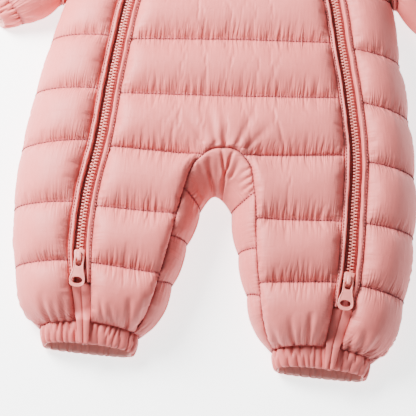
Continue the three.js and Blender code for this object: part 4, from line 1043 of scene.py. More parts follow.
class FrontCentre(Panel):
    """The front between the zips, chest to ankles."""

    ROWS = ((-64.2, -69.2, 0.9), (-11.8, -14.7, 1), (46.1, 41.1, 3.5), (98.2, 97.6, 5), (151.5, 153, 5),
            (205, 206, 4), (257, 258, 2))
    PUFF = 8.5
    COLUMNS = 86
    CREASES = (
        Crease((-47, -117), (-38, -97), 1.8, 2.6), Crease((-58, -118), (-54, -84), 2.0, 2.4),
        Crease((-69, -118), (-67, -93), 1.9, 4.6), Crease((-79, -118), (-84, -102), 1.7, 2.6),
        Crease((-88, -117), (-91, -98), 1.6, 2.4), Crease((66, -121), (56, -100), 1.9, 2.8),
        Crease((76, -121), (70, -94), 1.9, 3.0), Crease((86, -121), (87, -92), 2.0, 4.8),
        Crease((94, -120), (101, -100), 1.7, 3.0), Crease((-4, 53), (-14, 92), 3.6, 1.8),
        Crease((4, 54), (2, 84), 3.0, 1.8), Crease((16, 53), (30, 84), 3.4, 2.0),
        Crease((26, 49), (44, 70), 3.0, 1.5), Crease((-16, 52), (-33, 76), 3.2, 1.4),
    )

    def half(self, side: int) -> tuple[Array, Array, Array, Array, Array, list]:
        """One half, from the zip to the gusset's seam or the middle.

        Args:
            side: -1 on the viewer's left, 1 on the right.

        Returns:
            Points, which of them are sewn, how tight each is, where they lie from the seams, how
            deep they are folded, and the seams' lines with their outward directions.
        """
        line = SUIT.middle_line
        apex = SUIT.gusset_line.length
        lengths = np.array([0.0] + [line.length_at_y(inner + (side * skew * 0.3 if inner < 51 else 0))
                                    for _, inner, skew in self.ROWS] + [line.length])
        zips = np.array([SUIT.ANKLE_END] + [y + side * skew for y, _, skew in self.ROWS] + [SUIT.ZIP_IN])
        turn = (apex - lengths[3]) / (lengths[4] - lengths[3])
        counts = [int(54 / self.ROW_MM)] * 8
        low, high = int(counts[3] * 0.9), int(counts[3] * 0.95)
        arch = np.concatenate([turn * np.arange(low) / low, mix(turn, 1, np.arange(high) / high)])
        stations = Channel.spread(counts, {3: arch})
        length, zip_y = stations.between(lengths), stations.between(zips)
        inner_x, inner_y = line.at(length)
        middle = length >= apex - 1e-6
        seam_x = SUIT.zip_x(side, zip_y) - side * SUIT.STRIP_HALF.at(zip_y)
        inside_x = np.where(middle, 0, side * inner_x) + SUIT.MIDDLE_SHIFT.at(inner_y)
        u = np.linspace(0, 1, self.COLUMNS)[None, :]
        x = mix(seam_x[:, None], inside_x[:, None], u)
        y = mix(zip_y[:, None], inner_y[:, None], u)
        neck_x = mix(SUIT.zip_x(side, SUIT.ZIP_IN) - side * SUIT.STRIP_HALF.at(SUIT.ZIP_IN), 0, u)
        bend = np.where(stations.k == 7, stations.f, 0)[:, None]
        y = y + (SUIT.neck(neck_x) - mix(SUIT.ZIP_IN, SUIT.NECK_FRONT, u)) * bend
        fade_in = np.where(middle, 16 * ease((length - apex) / 16), 0)[:, None]
        to_inside = np.abs(x - inside_x[:, None])
        inner = np.where(middle[:, None], from_seam(np.hypot(fade_in, to_inside)), from_seam(to_inside))
        inner = np.where(u < 0.5, 1, inner)
        to_zip = np.abs(x - seam_x[:, None])
        f = stations.f[:, None]
        puff = self.PUFF * across_channel(f) * from_seam(to_zip) * inner
        tall = np.gradient(zip_y)[:, None] * 0 + 53.0
        k = stations.k[:, None]
        pucker = Pucker(3)
        lane = k + np.where(f > 0.5, 1, 0)
        off = np.where(f > 0.5, 1 - f, f) * tall
        strong = np.where(lane == 0, 1.9, np.where(lane == 3, 1.15, 1.0))
        dip = pucker.at(x, off, lane) * strong
        dip = dip + Pucker(11, 0.7, 7.0, 8.0).at(y, to_zip, side * 3.0 + 5)
        dip = dip + np.where(middle[:, None], 0, Pucker(12, 0.75, 6.5, 8.0).at(y, to_inside, side * 2.0 + 9))
        dip = dip * clamp(puff / 2.5 + 0.25)
        fold = dip * 0.4 + creased(x, y, self.CREASES) * clamp(np.minimum(off, to_zip) / 2)
        past = np.maximum(0, length - apex)[:, None]
        lift = seam_lift(y, np.hypot(np.where(middle[:, None], past, 0), to_inside))
        points = raised(SUIT.above(x, y, puff - dip), lift)
        held = np.repeat(stations.seams[:, None], self.COLUMNS, axis=1)
        held[:, 0] = True
        held[:, -1] |= ~middle
        near = np.minimum(np.minimum(off, to_zip), np.where(middle[:, None], 99, to_inside))
        tight = clamp(1 - near / 14)
        normal = facing(points if side < 0 else points[:, ::-1])
        normal = normal if side < 0 else normal[:, ::-1]
        seams = [(raised(SUIT.above(x, y), lift)[row], normal[row]) for row in np.flatnonzero(stations.seams)[1:-1]]
        from_inside = np.where(middle[:, None], 99, to_inside)
        vectors = Seams(x, off, lane, y, np.minimum(to_zip, from_inside),
                        np.where(to_zip < from_inside, 1, 2) + 2 * side).vectors()
        return points, held, tight, vectors, fold, seams

    def build(self) -> bpy.types.Object:
        """Makes the panel and its stitches."""
        parts = [self.half(side) for side in (-1, 1)]
        points, held, tight, vectors, fold = (np.concatenate([parts[0][i], parts[1][i][:, ::-1]], axis=1)
                                              for i in range(5))
        around = ((1, 1), (1, 1))
        obj = grid_piece("front_centre_panel", tucked(points), slit=self.COLUMNS, extra=np.pad(tight, around),
                         held=np.pad(held, around, constant_values=True), fold=np.pad(fold, around),
                         seams=np.pad(vectors, (*around, (0, 0)), mode="edge"))
        if self.settle:
            Settling().run(obj)
        self.finish(obj, ("front_centre",), 0.55)
        for number, ((left, up_l), (right, up_r)) in enumerate(zip(parts[0][5], parts[1][5])):
            for name, line, up in (("left", left, up_l), ("right", right, up_r)):
                stitch_row(f"front_centre_stitches_{name}_{number}", line, up, self.finishes)
        return obj


class SideFront(Panel):
    """The front outside a zip, armhole to ankle."""

    ROWS = ((-64.4, -68.2, 0.1), (-10.8, -13.0, -0.4), (46.1, 41.9, -0.9), (98.4, 95.8, 2.3),
            (150.3, 149.5, 2.0), (203, 201.5, 0), (257, 260, 0))
    PUFF, EDGE_PUFF, FULL_PUFF = 7.5, 0.14, 1.8
    COLUMNS = 66
    CREASES = {
        -1: (Crease((-113, -118), (-112, -100), 1.6, 2.6), Crease((-120, -118), (-123, -96), 1.9, 3.6),
             Crease((-126, -118), (-131, -101), 1.7, 3.0), Crease((-133, -117), (-141, -94), 2.2, 4.2)),
        1: (Crease((119, -122), (125, -101), 1.9, 3.4), Crease((127, -122), (134, -98), 2.1, 3.8),
            Crease((134, -121), (145, -100), 1.9, 3.0), Crease((112, -122), (113, -104), 1.6, 2.2)),
    }

    def build(self, side: int) -> bpy.types.Object:
        """Makes the panel and its stitches on one side."""
        name = "left" if side < 0 else "right"
        edges = np.array([SUIT.ANKLE_END] + [edge for _, edge, _ in self.ROWS] + [SUIT.SHOULDER[1]])
        zips = np.array([SUIT.ANKLE_END] + [y + side * skew for y, _, skew in self.ROWS] + [SUIT.ZIP_OUT])
        stations = Channel.spread([int(54 / self.ROW_MM)] * 8)
        edge, zip_y = stations.between(edges), stations.between(zips)
        sleeved = edge >= SUIT.ARMPIT[1]
        side_x = np.where(sleeved, SUIT.ARMHOLE.at(edge) - SEAM, SUIT.SIDE.at(edge))
        seam_x = side * SUIT.zip_x(side, zip_y) + SUIT.STRIP_HALF.at(zip_y)
        start = np.where(sleeved, 0, SUIT.UNDER_TURN * ease((SUIT.ARMPIT[1] - edge) / SUIT.ARMPIT_EASE))
        full = np.arccos(1 - np.minimum(1, (side_x - seam_x) / SUIT.ROUND_SIDE))
        t = np.linspace(0, 1, self.COLUMNS)[None, :]
        turn = mix(start[:, None], full[:, None], t)
        share = np.where(sleeved[:, None], t, np.maximum(0, (1 - np.cos(turn)) / (1 - np.cos(full[:, None]))))
        under = (turn < 0) & ~sleeved[:, None]
        share = np.where(under, 0, share)
        y = mix(edge[:, None], zip_y[:, None], share)
        neck_seam = side * SUIT.zip_x(side, SUIT.ZIP_OUT) + SUIT.STRIP_HALF.at(SUIT.ZIP_OUT)
        top_x = mix(SUIT.SHOULDER[0], neck_seam, share)
        top_line = np.where(top_x > SUIT.NECK_HALF, SUIT.shoulder_y(top_x), SUIT.neck(top_x))
        bend = np.where(stations.k == 7, stations.f, 0)[:, None]
        y = y + (top_line - mix(SUIT.SHOULDER[1], SUIT.ZIP_OUT, share)) * bend
        f, k = stations.f[:, None], stations.k[:, None]
        across = across_channel(f)
        x = mix(side_x[:, None], seam_x[:, None], share)
        strength = np.where(sleeved[:, None], from_seam(side_x[:, None] - x),
                            mix(self.EDGE_PUFF, 1, ease(share * self.FULL_PUFF)))
        to_zip = x - seam_x[:, None]
        puff = self.PUFF * strength * across * from_seam(to_zip)
        lane = k + np.where(f > 0.5, 1, 0)
        off = np.where(f > 0.5, 1 - f, f) * 53.0
        walked = side_x[:, None] - x + turn * 30
        dip = Pucker(21 + side).at(walked, off, lane) * np.where(lane == 0, 1.9, 1.0)
        dip = dip + Pucker(24 + side, 0.7, 7.0, 8.0).at(y, to_zip, side + 5)
        dip = dip * clamp(puff / 2.5 + 0.25)
        near = np.minimum(off, to_zip)
        fold = dip * 0.4 + creased(side * x, y, self.CREASES[side]) * ease(share * 4) * clamp(near / 2)
        over = SUIT.above(side * x, y, puff - dip)
        low_puff = self.PUFF * self.EDGE_PUFF * across * (1 - turn / np.where(start == 0, -1, start)[:, None])
        in_x = side_x[:, None] - SUIT.ROUND_UNDER * (1 - np.cos(turn))
        lower = SUIT.below(side * in_x, y, low_puff - dip * 0.4, (side * np.cos(turn), 0.0))
        points = np.where(under[..., None], lower, over)
        points[..., 2] = np.maximum(points[..., 2], 0.0)
        held = np.repeat(stations.seams[:, None], self.COLUMNS, axis=1)
        held[:, 0] = held[:, -1] = True
        tight = clamp(1 - np.minimum(off, to_zip) / 14)
        bare = np.where(under[..., None], SUIT.below(side * in_x, y), SUIT.above(side * x, y))
        vectors = Seams(walked, off, lane, y, to_zip, 5.0 + side).vectors()
        if side > 0:
            points, held, tight, bare, vectors, fold = (grid[:, ::-1] for grid in
                                                        (points, held, tight, bare, vectors, fold))
        normal = facing(points)
        around = ((1, 1), (1, 1))
        obj = grid_piece(f"side_front_panel_{name}", tucked(points), held=np.pad(held, around, constant_values=True),
                         extra=np.pad(tight, around), fold=np.pad(fold, around), seams=np.pad(vectors, (*around, (0, 0)), mode="edge"))
        if self.settle:
            Settling(cap=2.4 * MM).run(obj)
        self.finish(obj, (f"side_front_{name}",), 0.55)
        for number, row in enumerate(np.flatnonzero(stations.seams)[1:-1]):
            stitch_row(f"side_front_stitches_{name}_{number}", bare[row], normal[row], self.finishes)
        return obj


class Gusset(Panel):
    """The piece down both inner legs and over the crotch."""

    ROWS = ((-78, -73, -1.5), (-37, -36, -2.6), (7, -4, 0))
    PUFF = 4.5
    CREASES = (
        Crease((-0.8, 4), (-7.8, 29), 1.7, 6.5), Crease((-7, 24), (-11, 44), 2.4, 2.2),
        Crease((5.8, 6), (6.8, 28), 1.5, 6.5), Crease((6.9, 24), (1.2, 50), 1.4, 4.6),
        Crease((7.4, 26), (14.6, 47), 1.5, 4.6), Crease((13, 22), (21, 38), 2.0, 2.2),
        Crease((30.5, 22), (19, 15), 1.4, 2.8), Crease((31, 15), (20, 7.5), 1.3, 2.6),
        Crease((31.4, 9), (23.5, 3), 1.3, 2.2), Crease((29, 29), (20, 24), 1.3, 2.2),
        Crease((-14, 6), (-24, 24), 3.0, 1.8), Crease((2.5, 6), (1.5, 26), 2.2, -1.4),
        Crease((-20, 34), (-13, 24), 2.0, 1.6),
    )

    def build(self) -> bpy.types.Object:
        """Makes the gusset, its quilting and the topstitching round it."""
        line, climb = SUIT.gusset_line, SUIT.gap_climb
        stations = Channel.spread([26, 26, 28, 54])
        arch = stations.k == 3
        across = across_channel(np.where(arch, stations.f / 2, stations.f))[:, None]
        over_t = np.linspace(1, 0.02, 30)[None, :]
        under_t = np.linspace(0.06, 1, 12)[None, :]
        both, rows = [], []
        for side in (-1, 1):
            seams = np.array([0.0] + [line.length_at_y(y + side * skew) for y, _, skew in self.ROWS] + [line.length])
            edges = np.array([0.0] + [climb.length_at_y(y + side * skew) for _, y, skew in self.ROWS] + [climb.length])
            seam_x, seam_y = line.at(stations.between(seams))
            edge_x, edge_y = climb.at(stations.between(edges))
            seam_x[-1] = edge_x[-1] = 0.0
            start_x = side * seam_x + SUIT.MIDDLE_SHIFT.at(seam_y)
            rim_x = side * edge_x
            wide = np.hypot(start_x - rim_x, seam_y - edge_y)[:, None]
            full = np.arccos(1 - np.minimum(1, wide / SUIT.ROUND_GAP))
            share = (1 - np.cos(full * over_t)) / (1 - np.cos(full))
            x = mix(rim_x[:, None], start_x[:, None], share)
            y = mix(edge_y[:, None], seam_y[:, None], share)
            to_seam = wide * (1 - share)
            puff = self.PUFF * across * from_seam(to_seam) * mix(0.5, 1, share)
            f = stations.f[:, None]
            off = np.where((f > 0.5) & ~arch[:, None], 1 - f, f) * 36
            lane = stations.k[:, None] + np.where((f > 0.5) & ~arch[:, None], 1, 0)
            walked = wide * share
            dip = Pucker(31, 0.8, 5.0, 8.0).at(walked, off, lane + side)
            dip = dip + Pucker(33, 0.8, 5.5, 8.0).at(y, to_seam, side * 2.0 + 4)
            fold = creased(x, y, self.CREASES) * mix(0.6, 1, ease(share * 4)) * clamp(to_seam / 2.5)
            lift = seam_lift(y, to_seam)
            over = raised(SUIT.above(x, y, puff - dip * clamp(puff / 2.0 + 0.2) - fold), lift)
            turn = SUIT.UNDER_TURN * under_t
            _, near_x, near_y = SUIT.gap.nearest(edge_x, edge_y)
            ankle = ease((edge_y - SUIT.ANKLE_END) / SUIT.ANKLE_EASE)
            ax, ay = mix(1, near_x, ankle), mix(0, near_y, ankle)
            ax[-1], ay[-1] = 0.0, 1.0
            long = np.hypot(ax, ay)
            ax, ay = (ax / long)[:, None], (ay / long)[:, None]
            inward = SUIT.ROUND_UNDER * (1 - np.cos(turn))
            low_puff = self.PUFF * 0.5 * across * (1 - under_t)
            lower = SUIT.below(side * (edge_x[:, None] + ax * inward), edge_y[:, None] + ay * inward, low_puff,
                               (-side * ax * np.cos(turn), -ay * np.cos(turn)))
            half = np.concatenate([over, lower], axis=1)
            rows.append((raised(SUIT.above(start_x, seam_y), seam_lift(seam_y, 0.0)),
                         raised(SUIT.above(x, y), lift)))
            near = Seams(walked, off, lane, y, to_seam, 7.0 + side).vectors()
            vectors = np.concatenate([near, np.repeat(near[:, -1:], lower.shape[1], axis=1)], axis=1)
            if side > 0:
                half, vectors = half[:, ::-1], vectors[:, ::-1]
            both.append((half, np.pad(vectors, ((1, 1), (1, 1), (0, 0)), mode="edge")))
        meshes = [grid_piece(f"gusset_half_{number}", tucked(grid)[:-1], seams=vectors[:-1])
                  for number, (grid, vectors) in enumerate(both)]
        obj = joined("inner_leg_gusset_panel", meshes)
        self.finish(obj, ("inner_leg_gusset",), 0.45)
        for label, (seam, grid) in zip(("left", "right"), rows):
            side = -1 if label == "left" else 1
            for number, row in enumerate(np.flatnonzero(stations.seams)[1:-1]):
                span = grid[row]
                up = facing(grid if side < 0 else grid[:, ::-1])
                up = up if side < 0 else up[:, ::-1]
                stitch_row(f"gusset_stitches_{label}_{number}", span, up[row], self.finishes)
            up = np.tile([0.0, 0.0, 1.0], (len(seam), 1))
            stitch_row(f"gusset_topstitch_{label}", seam + up * 0.05, up, self.finishes)
        return obj


def joined(name: str, parts: list[bpy.types.Object], weld: float = 2e-5) -> bpy.types.Object:
    """Welds pieces into one.

    Args:
        name: The new piece's name.
        parts: The pieces, which are removed.
        weld: Points closer than this many metres are merged.

    Returns:
        The piece.
    """
    bm = bmesh.new()
    for part in parts:
        bm.from_mesh(part.data)
    bmesh.ops.remove_doubles(bm, verts=bm.verts, dist=weld)
    mesh = bpy.data.meshes.new(name)
    bm.to_mesh(mesh)
    bm.free()
    for part in parts:
        bpy.data.objects.remove(part)
    obj = shown(name, mesh)
    smooth(obj)
    return obj


class Sleeve(Panel):
    """A sleeve, from the armhole to the wrist."""

    ROWS = ((0.0, 0.0), (0.06, 0.34), (0.14, 0.68), (1.0, 1.0))
    PUFF = 7.0
    WIDEST, WRIST_TOP = 41.0, 29.0
    ROUND_LOW, ROUND_HIGH = 0.45, 0.4

    def build(self, side: int) -> bpy.types.Object:
        """Makes the sleeve and its stitches on one side."""
        name = "left" if side < 0 else "right"
        stations = Channel.spread([26, 26, 30])
        t_low, t_high = (stations.between([row[i] for row in self.ROWS])[:, None] for i in (0, 1))
        rows = len(stations.f)

        def line(q: Array) -> tuple[Array, Array, Array]:
            """Plan points and the share of the sleeve's length at shares q across it."""
            along = mix(t_low, t_high, q)
            root_y = mix(SUIT.ARMPIT[1], SUIT.SHOULDER[1], q)
            root_x = SUIT.ARMHOLE.at(root_y) + SEAM
            end = [mix(SUIT.SLEEVE_UNDER[i], SUIT.SLEEVE_OVER[i], q) for i in (0, 1)]
            return mix(root_x, end[0], along), mix(root_y, end[1], along), along

        ends = [line(np.full((rows, 1), q)) for q in (0.0, 1.0)]
        dx, dy = ends[1][0] - ends[0][0], ends[1][1] - ends[0][1]
        long = np.hypot(dx, dy)
        top_q = np.tile((1 - np.cos(np.linspace(0, np.pi, 70))) / 2, (rows, 1))
        low_q = np.tile(np.linspace(1, 0, 36)[1:], (rows, 1))
        f = stations.f[:, None]
        x, y, along = line(top_q)
        blend = ease(along * 1.6)
        top = mix(SUIT.FRONT_TOP.at(y), mix(self.WIDEST, self.WRIST_TOP, along), blend)
        own = (rise(top_q * long / np.minimum(SUIT.ROUND_SIDE, self.ROUND_LOW * long))
               * rise((1 - top_q) * long / np.minimum(SUIT.ROUND_SHOULDER, self.ROUND_HIGH * long)))
        share = mix(SUIT.swell(x, y), own, blend)
        off = np.where(f > 0.5, 1 - f, f) * 30
        lane = stations.k[:, None] + np.where(f > 0.5, 1, 0)
        dip = Pucker(41 + side, 1.0, 6.0, 9.0).at(top_q * long, off, lane) * np.where(lane == 3, 1.8, 1.0)
        puff = self.PUFF * across_channel(f) * mix(0.72, 1, np.sqrt(4 * top_q * (1 - top_q)))
        puff = puff - dip * clamp(puff / 2.5 + 0.2)
        outward = np.sign(top_q - 0.5) * puff * (1 - share)
        rim = top * SUIT.RIM
        upper = np.stack([side * (x + dx / long * outward), y + dy / long * outward,
                          mix(rim, top, share) + puff * share], axis=-1)
        x, y, along = line(low_q)
        low_share = np.minimum(rise(low_q * long / SUIT.ROUND_UNDER), rise((1 - low_q) * long / SUIT.ROUND_UNDER))
        base = mix(SUIT.FRONT_TOP.at(y), mix(self.WIDEST, self.WRIST_TOP, along), ease(along * 1.6))
        lower = np.stack([side * x, y, base * SUIT.RIM * (1 - low_share)], axis=-1)
        ring = np.concatenate([upper, lower], axis=1)
        ring[:, -1] = ring[:, 0]
        near = Seams(top_q * long, off, lane + 3, top_q * 0, top_q * 0 + 99, 9.0).vectors()
        vectors = np.concatenate([near, np.repeat(near[:, -1:], lower.shape[1], axis=1)], axis=1)
        if side > 0:
            ring, vectors = ring[:, ::-1], vectors[:, ::-1]
        obj = grid_piece(f"sleeve_panel_{name}", ring[::-1], seams=vectors[::-1])
        self.finish(obj, (f"sleeve_{name}",), 0.5)
        bare = upper.copy()
        for number, row in enumerate(np.flatnonzero(stations.seams)[1:-1]):
            up = np.tile([0.0, 0.0, 1.0], (bare.shape[1] - 16, 1))
            stitch_row(f"sleeve_stitches_{name}_{number}", bare[row, 8:-8], up, self.finishes)
        return obj


def oval(half: float, top: float, count: int) -> tuple[Array, Array, Array, Array]:
    """The flattened round of a casing's section.

    Args:
        half: Half its width.
        top: Its height.
        count: How many points, the first and last of which are one.

    Returns:
        Across, up, and the two parts of the outward direction.
    """
    a = np.linspace(0, 2 * np.pi, 721)
    c, s = np.cos(a), np.sin(a)
    up = np.abs(s)
    z = np.where(s > 0, mix(Suit.RIM, 1, up**0.75), Suit.RIM * (1 - up**0.5)) * top
    path = Path(np.column_stack([half * np.sign(c) * np.abs(c) ** 0.85, z]))
    length = np.linspace(0, path.length, count)
    x, z = path.at(length)
    before, after = path.at((length - 1) % path.length), path.at((length + 1) % path.length)
    ox, oz = after[1] - before[1], -(after[0] - before[0])
    long = np.maximum(1e-9, np.hypot(ox, oz))
    return x, z, ox / long, oz / long


class Gathers:
    """Uneven folds round a gathered casing."""

    def __init__(self, seed: int, count: int) -> None:
        """Args:
            seed: Picks the pattern.
            count: How many folds there are.
        """
        rng = np.random.default_rng(seed)
        widths = rng.uniform(0.62, 1.5, count)
        self.marks = np.concatenate([[0.0], np.cumsum(widths) / widths.sum()])
        self.depths = rng.uniform(0.55, 1.25, count + 1)
        self.depths[-1] = self.depths[0]
        self.leans = rng.uniform(-0.012, 0.012, count + 1)
        self.leans[-1] = self.leans[0]

    def at(self, share: Array, along: Array) -> Array:
        """The folds' height, from about 0 in a hollow to 1 on a crest.

        Args:
            share: Share of the way round.
            along: Share of the casing's length.

        Returns:
            Heights.
        """
        place = share + np.interp(share, self.marks, self.leans) * (along - 0.5)
        i = np.clip(np.searchsorted(self.marks, place, side="right") - 1, 0, len(self.marks) - 2)
        t = clamp((place - self.marks[i]) / (self.marks[i + 1] - self.marks[i]))
        depth = mix(self.depths[i], self.depths[i + 1], t)
        return 1 - depth * (1 - np.sin(np.pi * t) ** 0.6)


@dataclass
class Casing:
    """A gathered elastic casing at a wrist or ankle."""

    finishes: Wardrobe
    name: str
    half: float
    mouth_half: float
    length: float
    top: float
    mouth_top: float
    wall: float
    gathers: int
    seed: int
    slant: float = 4.5

    def build(self, place: "callable", flip: bool) -> bpy.types.Object:
        """Makes the casing.

        Args:
            place: Turns distances across and along into plan points.
            flip: Whether the casing is mirrored.

        Returns:
            The piece.
        """
        count = 340
        share = np.linspace(0, 1, count)
        upper, lower = Gathers(self.seed, self.gathers), Gathers(self.seed + 7, self.gathers - 3)
        rows = []
        outer = np.linspace(-0.13, 1, 18)
        inner = np.linspace(1, 0, 12)
        bulge_of = 1.8
        for is_inner, alongs in ((False, outer), (True, inner)):
            for along in alongs:
                half, top = mix(self.half, self.mouth_half, along), mix(self.top, self.mouth_top, along)
                lean = ease((along - 0.25) / 0.5)
                wave = mix(upper.at(share, np.full(count, along)), lower.at(share, np.full(count, along)), lean)
                if is_inner:
                    x, z, ox, oz = oval(half - bulge_of - self.wall, top - bulge_of - 2 * self.wall, count)
                    z = z + self.wall
                    move = -(wave - 0.6) * 1.8
                else:
                    x, z, ox, oz = oval(half - bulge_of, top - bulge_of, count)
                    swell = math.sin(math.pi * float(clamp(along * 0.92 + 0.04))) ** 0.55
                    move = bulge_of * swell + (wave - 0.8) * mix(2.9, 2.2, swell)
                resting = clamp((z - 0.5) / 3.0)
                move = move * (resting if not is_inner else 1.0)
                px, py = place(x + ox * move, along * (self.length - self.slant * z / self.top))
                rows.append(np.stack(np.broadcast_arrays(px, py, np.maximum(0, z + oz * move)), axis=-1))
            if not is_inner:
                half, top = self.mouth_half, self.mouth_top
                wave = lower.at(share, np.ones(count))
                for turn in (0.25, 0.5, 0.75):
                    outer_x, outer_z, ox, oz = oval(half - bulge_of, top - bulge_of, count)
                    inner_x, inner_z, _, _ = oval(half - bulge_of - self.wall, top - bulge_of - 2 * self.wall, count)
                    x, z = mix(outer_x, inner_x, turn), mix(outer_z, inner_z + self.wall, turn)
                    out = math.sin(math.pi * turn) * 1.0
                    move = (wave - 0.75) * mix(1.6, 0.4, turn) * clamp((z - 0.5) / 3.0)
                    px, py = place(x + ox * move, self.length - self.slant * z / self.top + out + (wave - 0.7) * 0.9)
                    rows.append(np.stack(np.broadcast_arrays(px, py, np.maximum(0, z + oz * move)), axis=-1))
        grid = np.stack(rows)
        grid[:, -1] = grid[:, 0]
        if flip:
            grid = grid[:, ::-1]
        # Full seam nearness on the inner rows lays the casing's painted-light tint over its whole shaded inside.
        inside = np.zeros((*grid.shape[:2], 6))
        inside[len(outer) + 2:, :, 1] = Seams.REACH
        obj = grid_piece(f"{self.name}_casing", grid[::-1], seams=inside[::-1])
        self.finishes.dress(obj, self.finishes.casing)
        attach(obj, GARMENT)
        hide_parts(self.name)
        LOG.info("%s: %d faces", obj.name, len(obj.data.polygons))
        return obj


class Back(Panel):
    """The quilted back that the suit lies on."""

    GROOVES = (-68, -12, 45, 99, 151, 203, 260)

    def build(self) -> bpy.types.Object:
        """Makes the back from its solid, with finer faces and sewn rows pressed in from below."""
        bm = bmesh.new()
        bm.from_mesh(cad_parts["back"].data)
        bmesh.ops.remove_doubles(bm, verts=bm.verts, dist=2e-6)
        bmesh.ops.subdivide_edges(bm, edges=bm.edges, cuts=2, use_grid_fill=True)
        for vert in bm.verts:
            y = vert.co.y / MM - SHIFT_Y
            drawn = SUIT.eased(np.array([vert.co.x / MM, y, 0.0])) * MM
            vert.co.x, vert.co.y = drawn[0], drawn[1] + SHIFT_Y * MM
            if vert.co.z < 1.5 * MM:
                off = min(abs(y - groove) for groove in self.GROOVES)
                vert.co.z += 1.4 * MM * math.exp(-((off / 3.0) ** 2))
        mesh = bpy.data.meshes.new("back_panel")
        bm.to_mesh(mesh)
        bm.free()
        obj = shown("back_panel", mesh)
        smooth(obj)
        self.finish(obj, ("back",), 0.5)
        return obj


class Collar(Panel):
    """The stand collar, in front between the zips and round the back."""

    def build(self) -> None:
        """Makes both pieces from their solids, rounded and finely creased."""
        for node in ("collar_front", "collar_back"):
            bm = bmesh.new()
            bm.from_mesh(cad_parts[node].data)
            bmesh.ops.remove_doubles(bm, verts=bm.verts, dist=2e-6)
            bmesh.ops.subdivide_edges(bm, edges=bm.edges, cuts=3, use_grid_fill=True)
            bmesh.ops.smooth_vert(bm, verts=[v for v in bm.verts if v.co.z > 0.3 * MM], factor=0.5,
                                  use_axis_x=True, use_axis_y=True, use_axis_z=True)
            pucker = Pucker(52, 0.7, 6.0, 9.0)
            for vert in bm.verts:
                x, y = vert.co.x / MM, vert.co.y / MM - SHIFT_Y
                seam = float(SUIT.neck(x, node == "collar_back"))
                if vert.co.z > 6 * MM:
                    vert.co.z -= float(pucker.at(x, abs(y - seam), 1.0)) * MM
            mesh = bpy.data.meshes.new(node)
            bm.to_mesh(mesh)
            bm.free()
            obj = shown(f"{node}_panel", mesh)
            smooth(obj)
            self.finish(obj, (node,), 0.4)


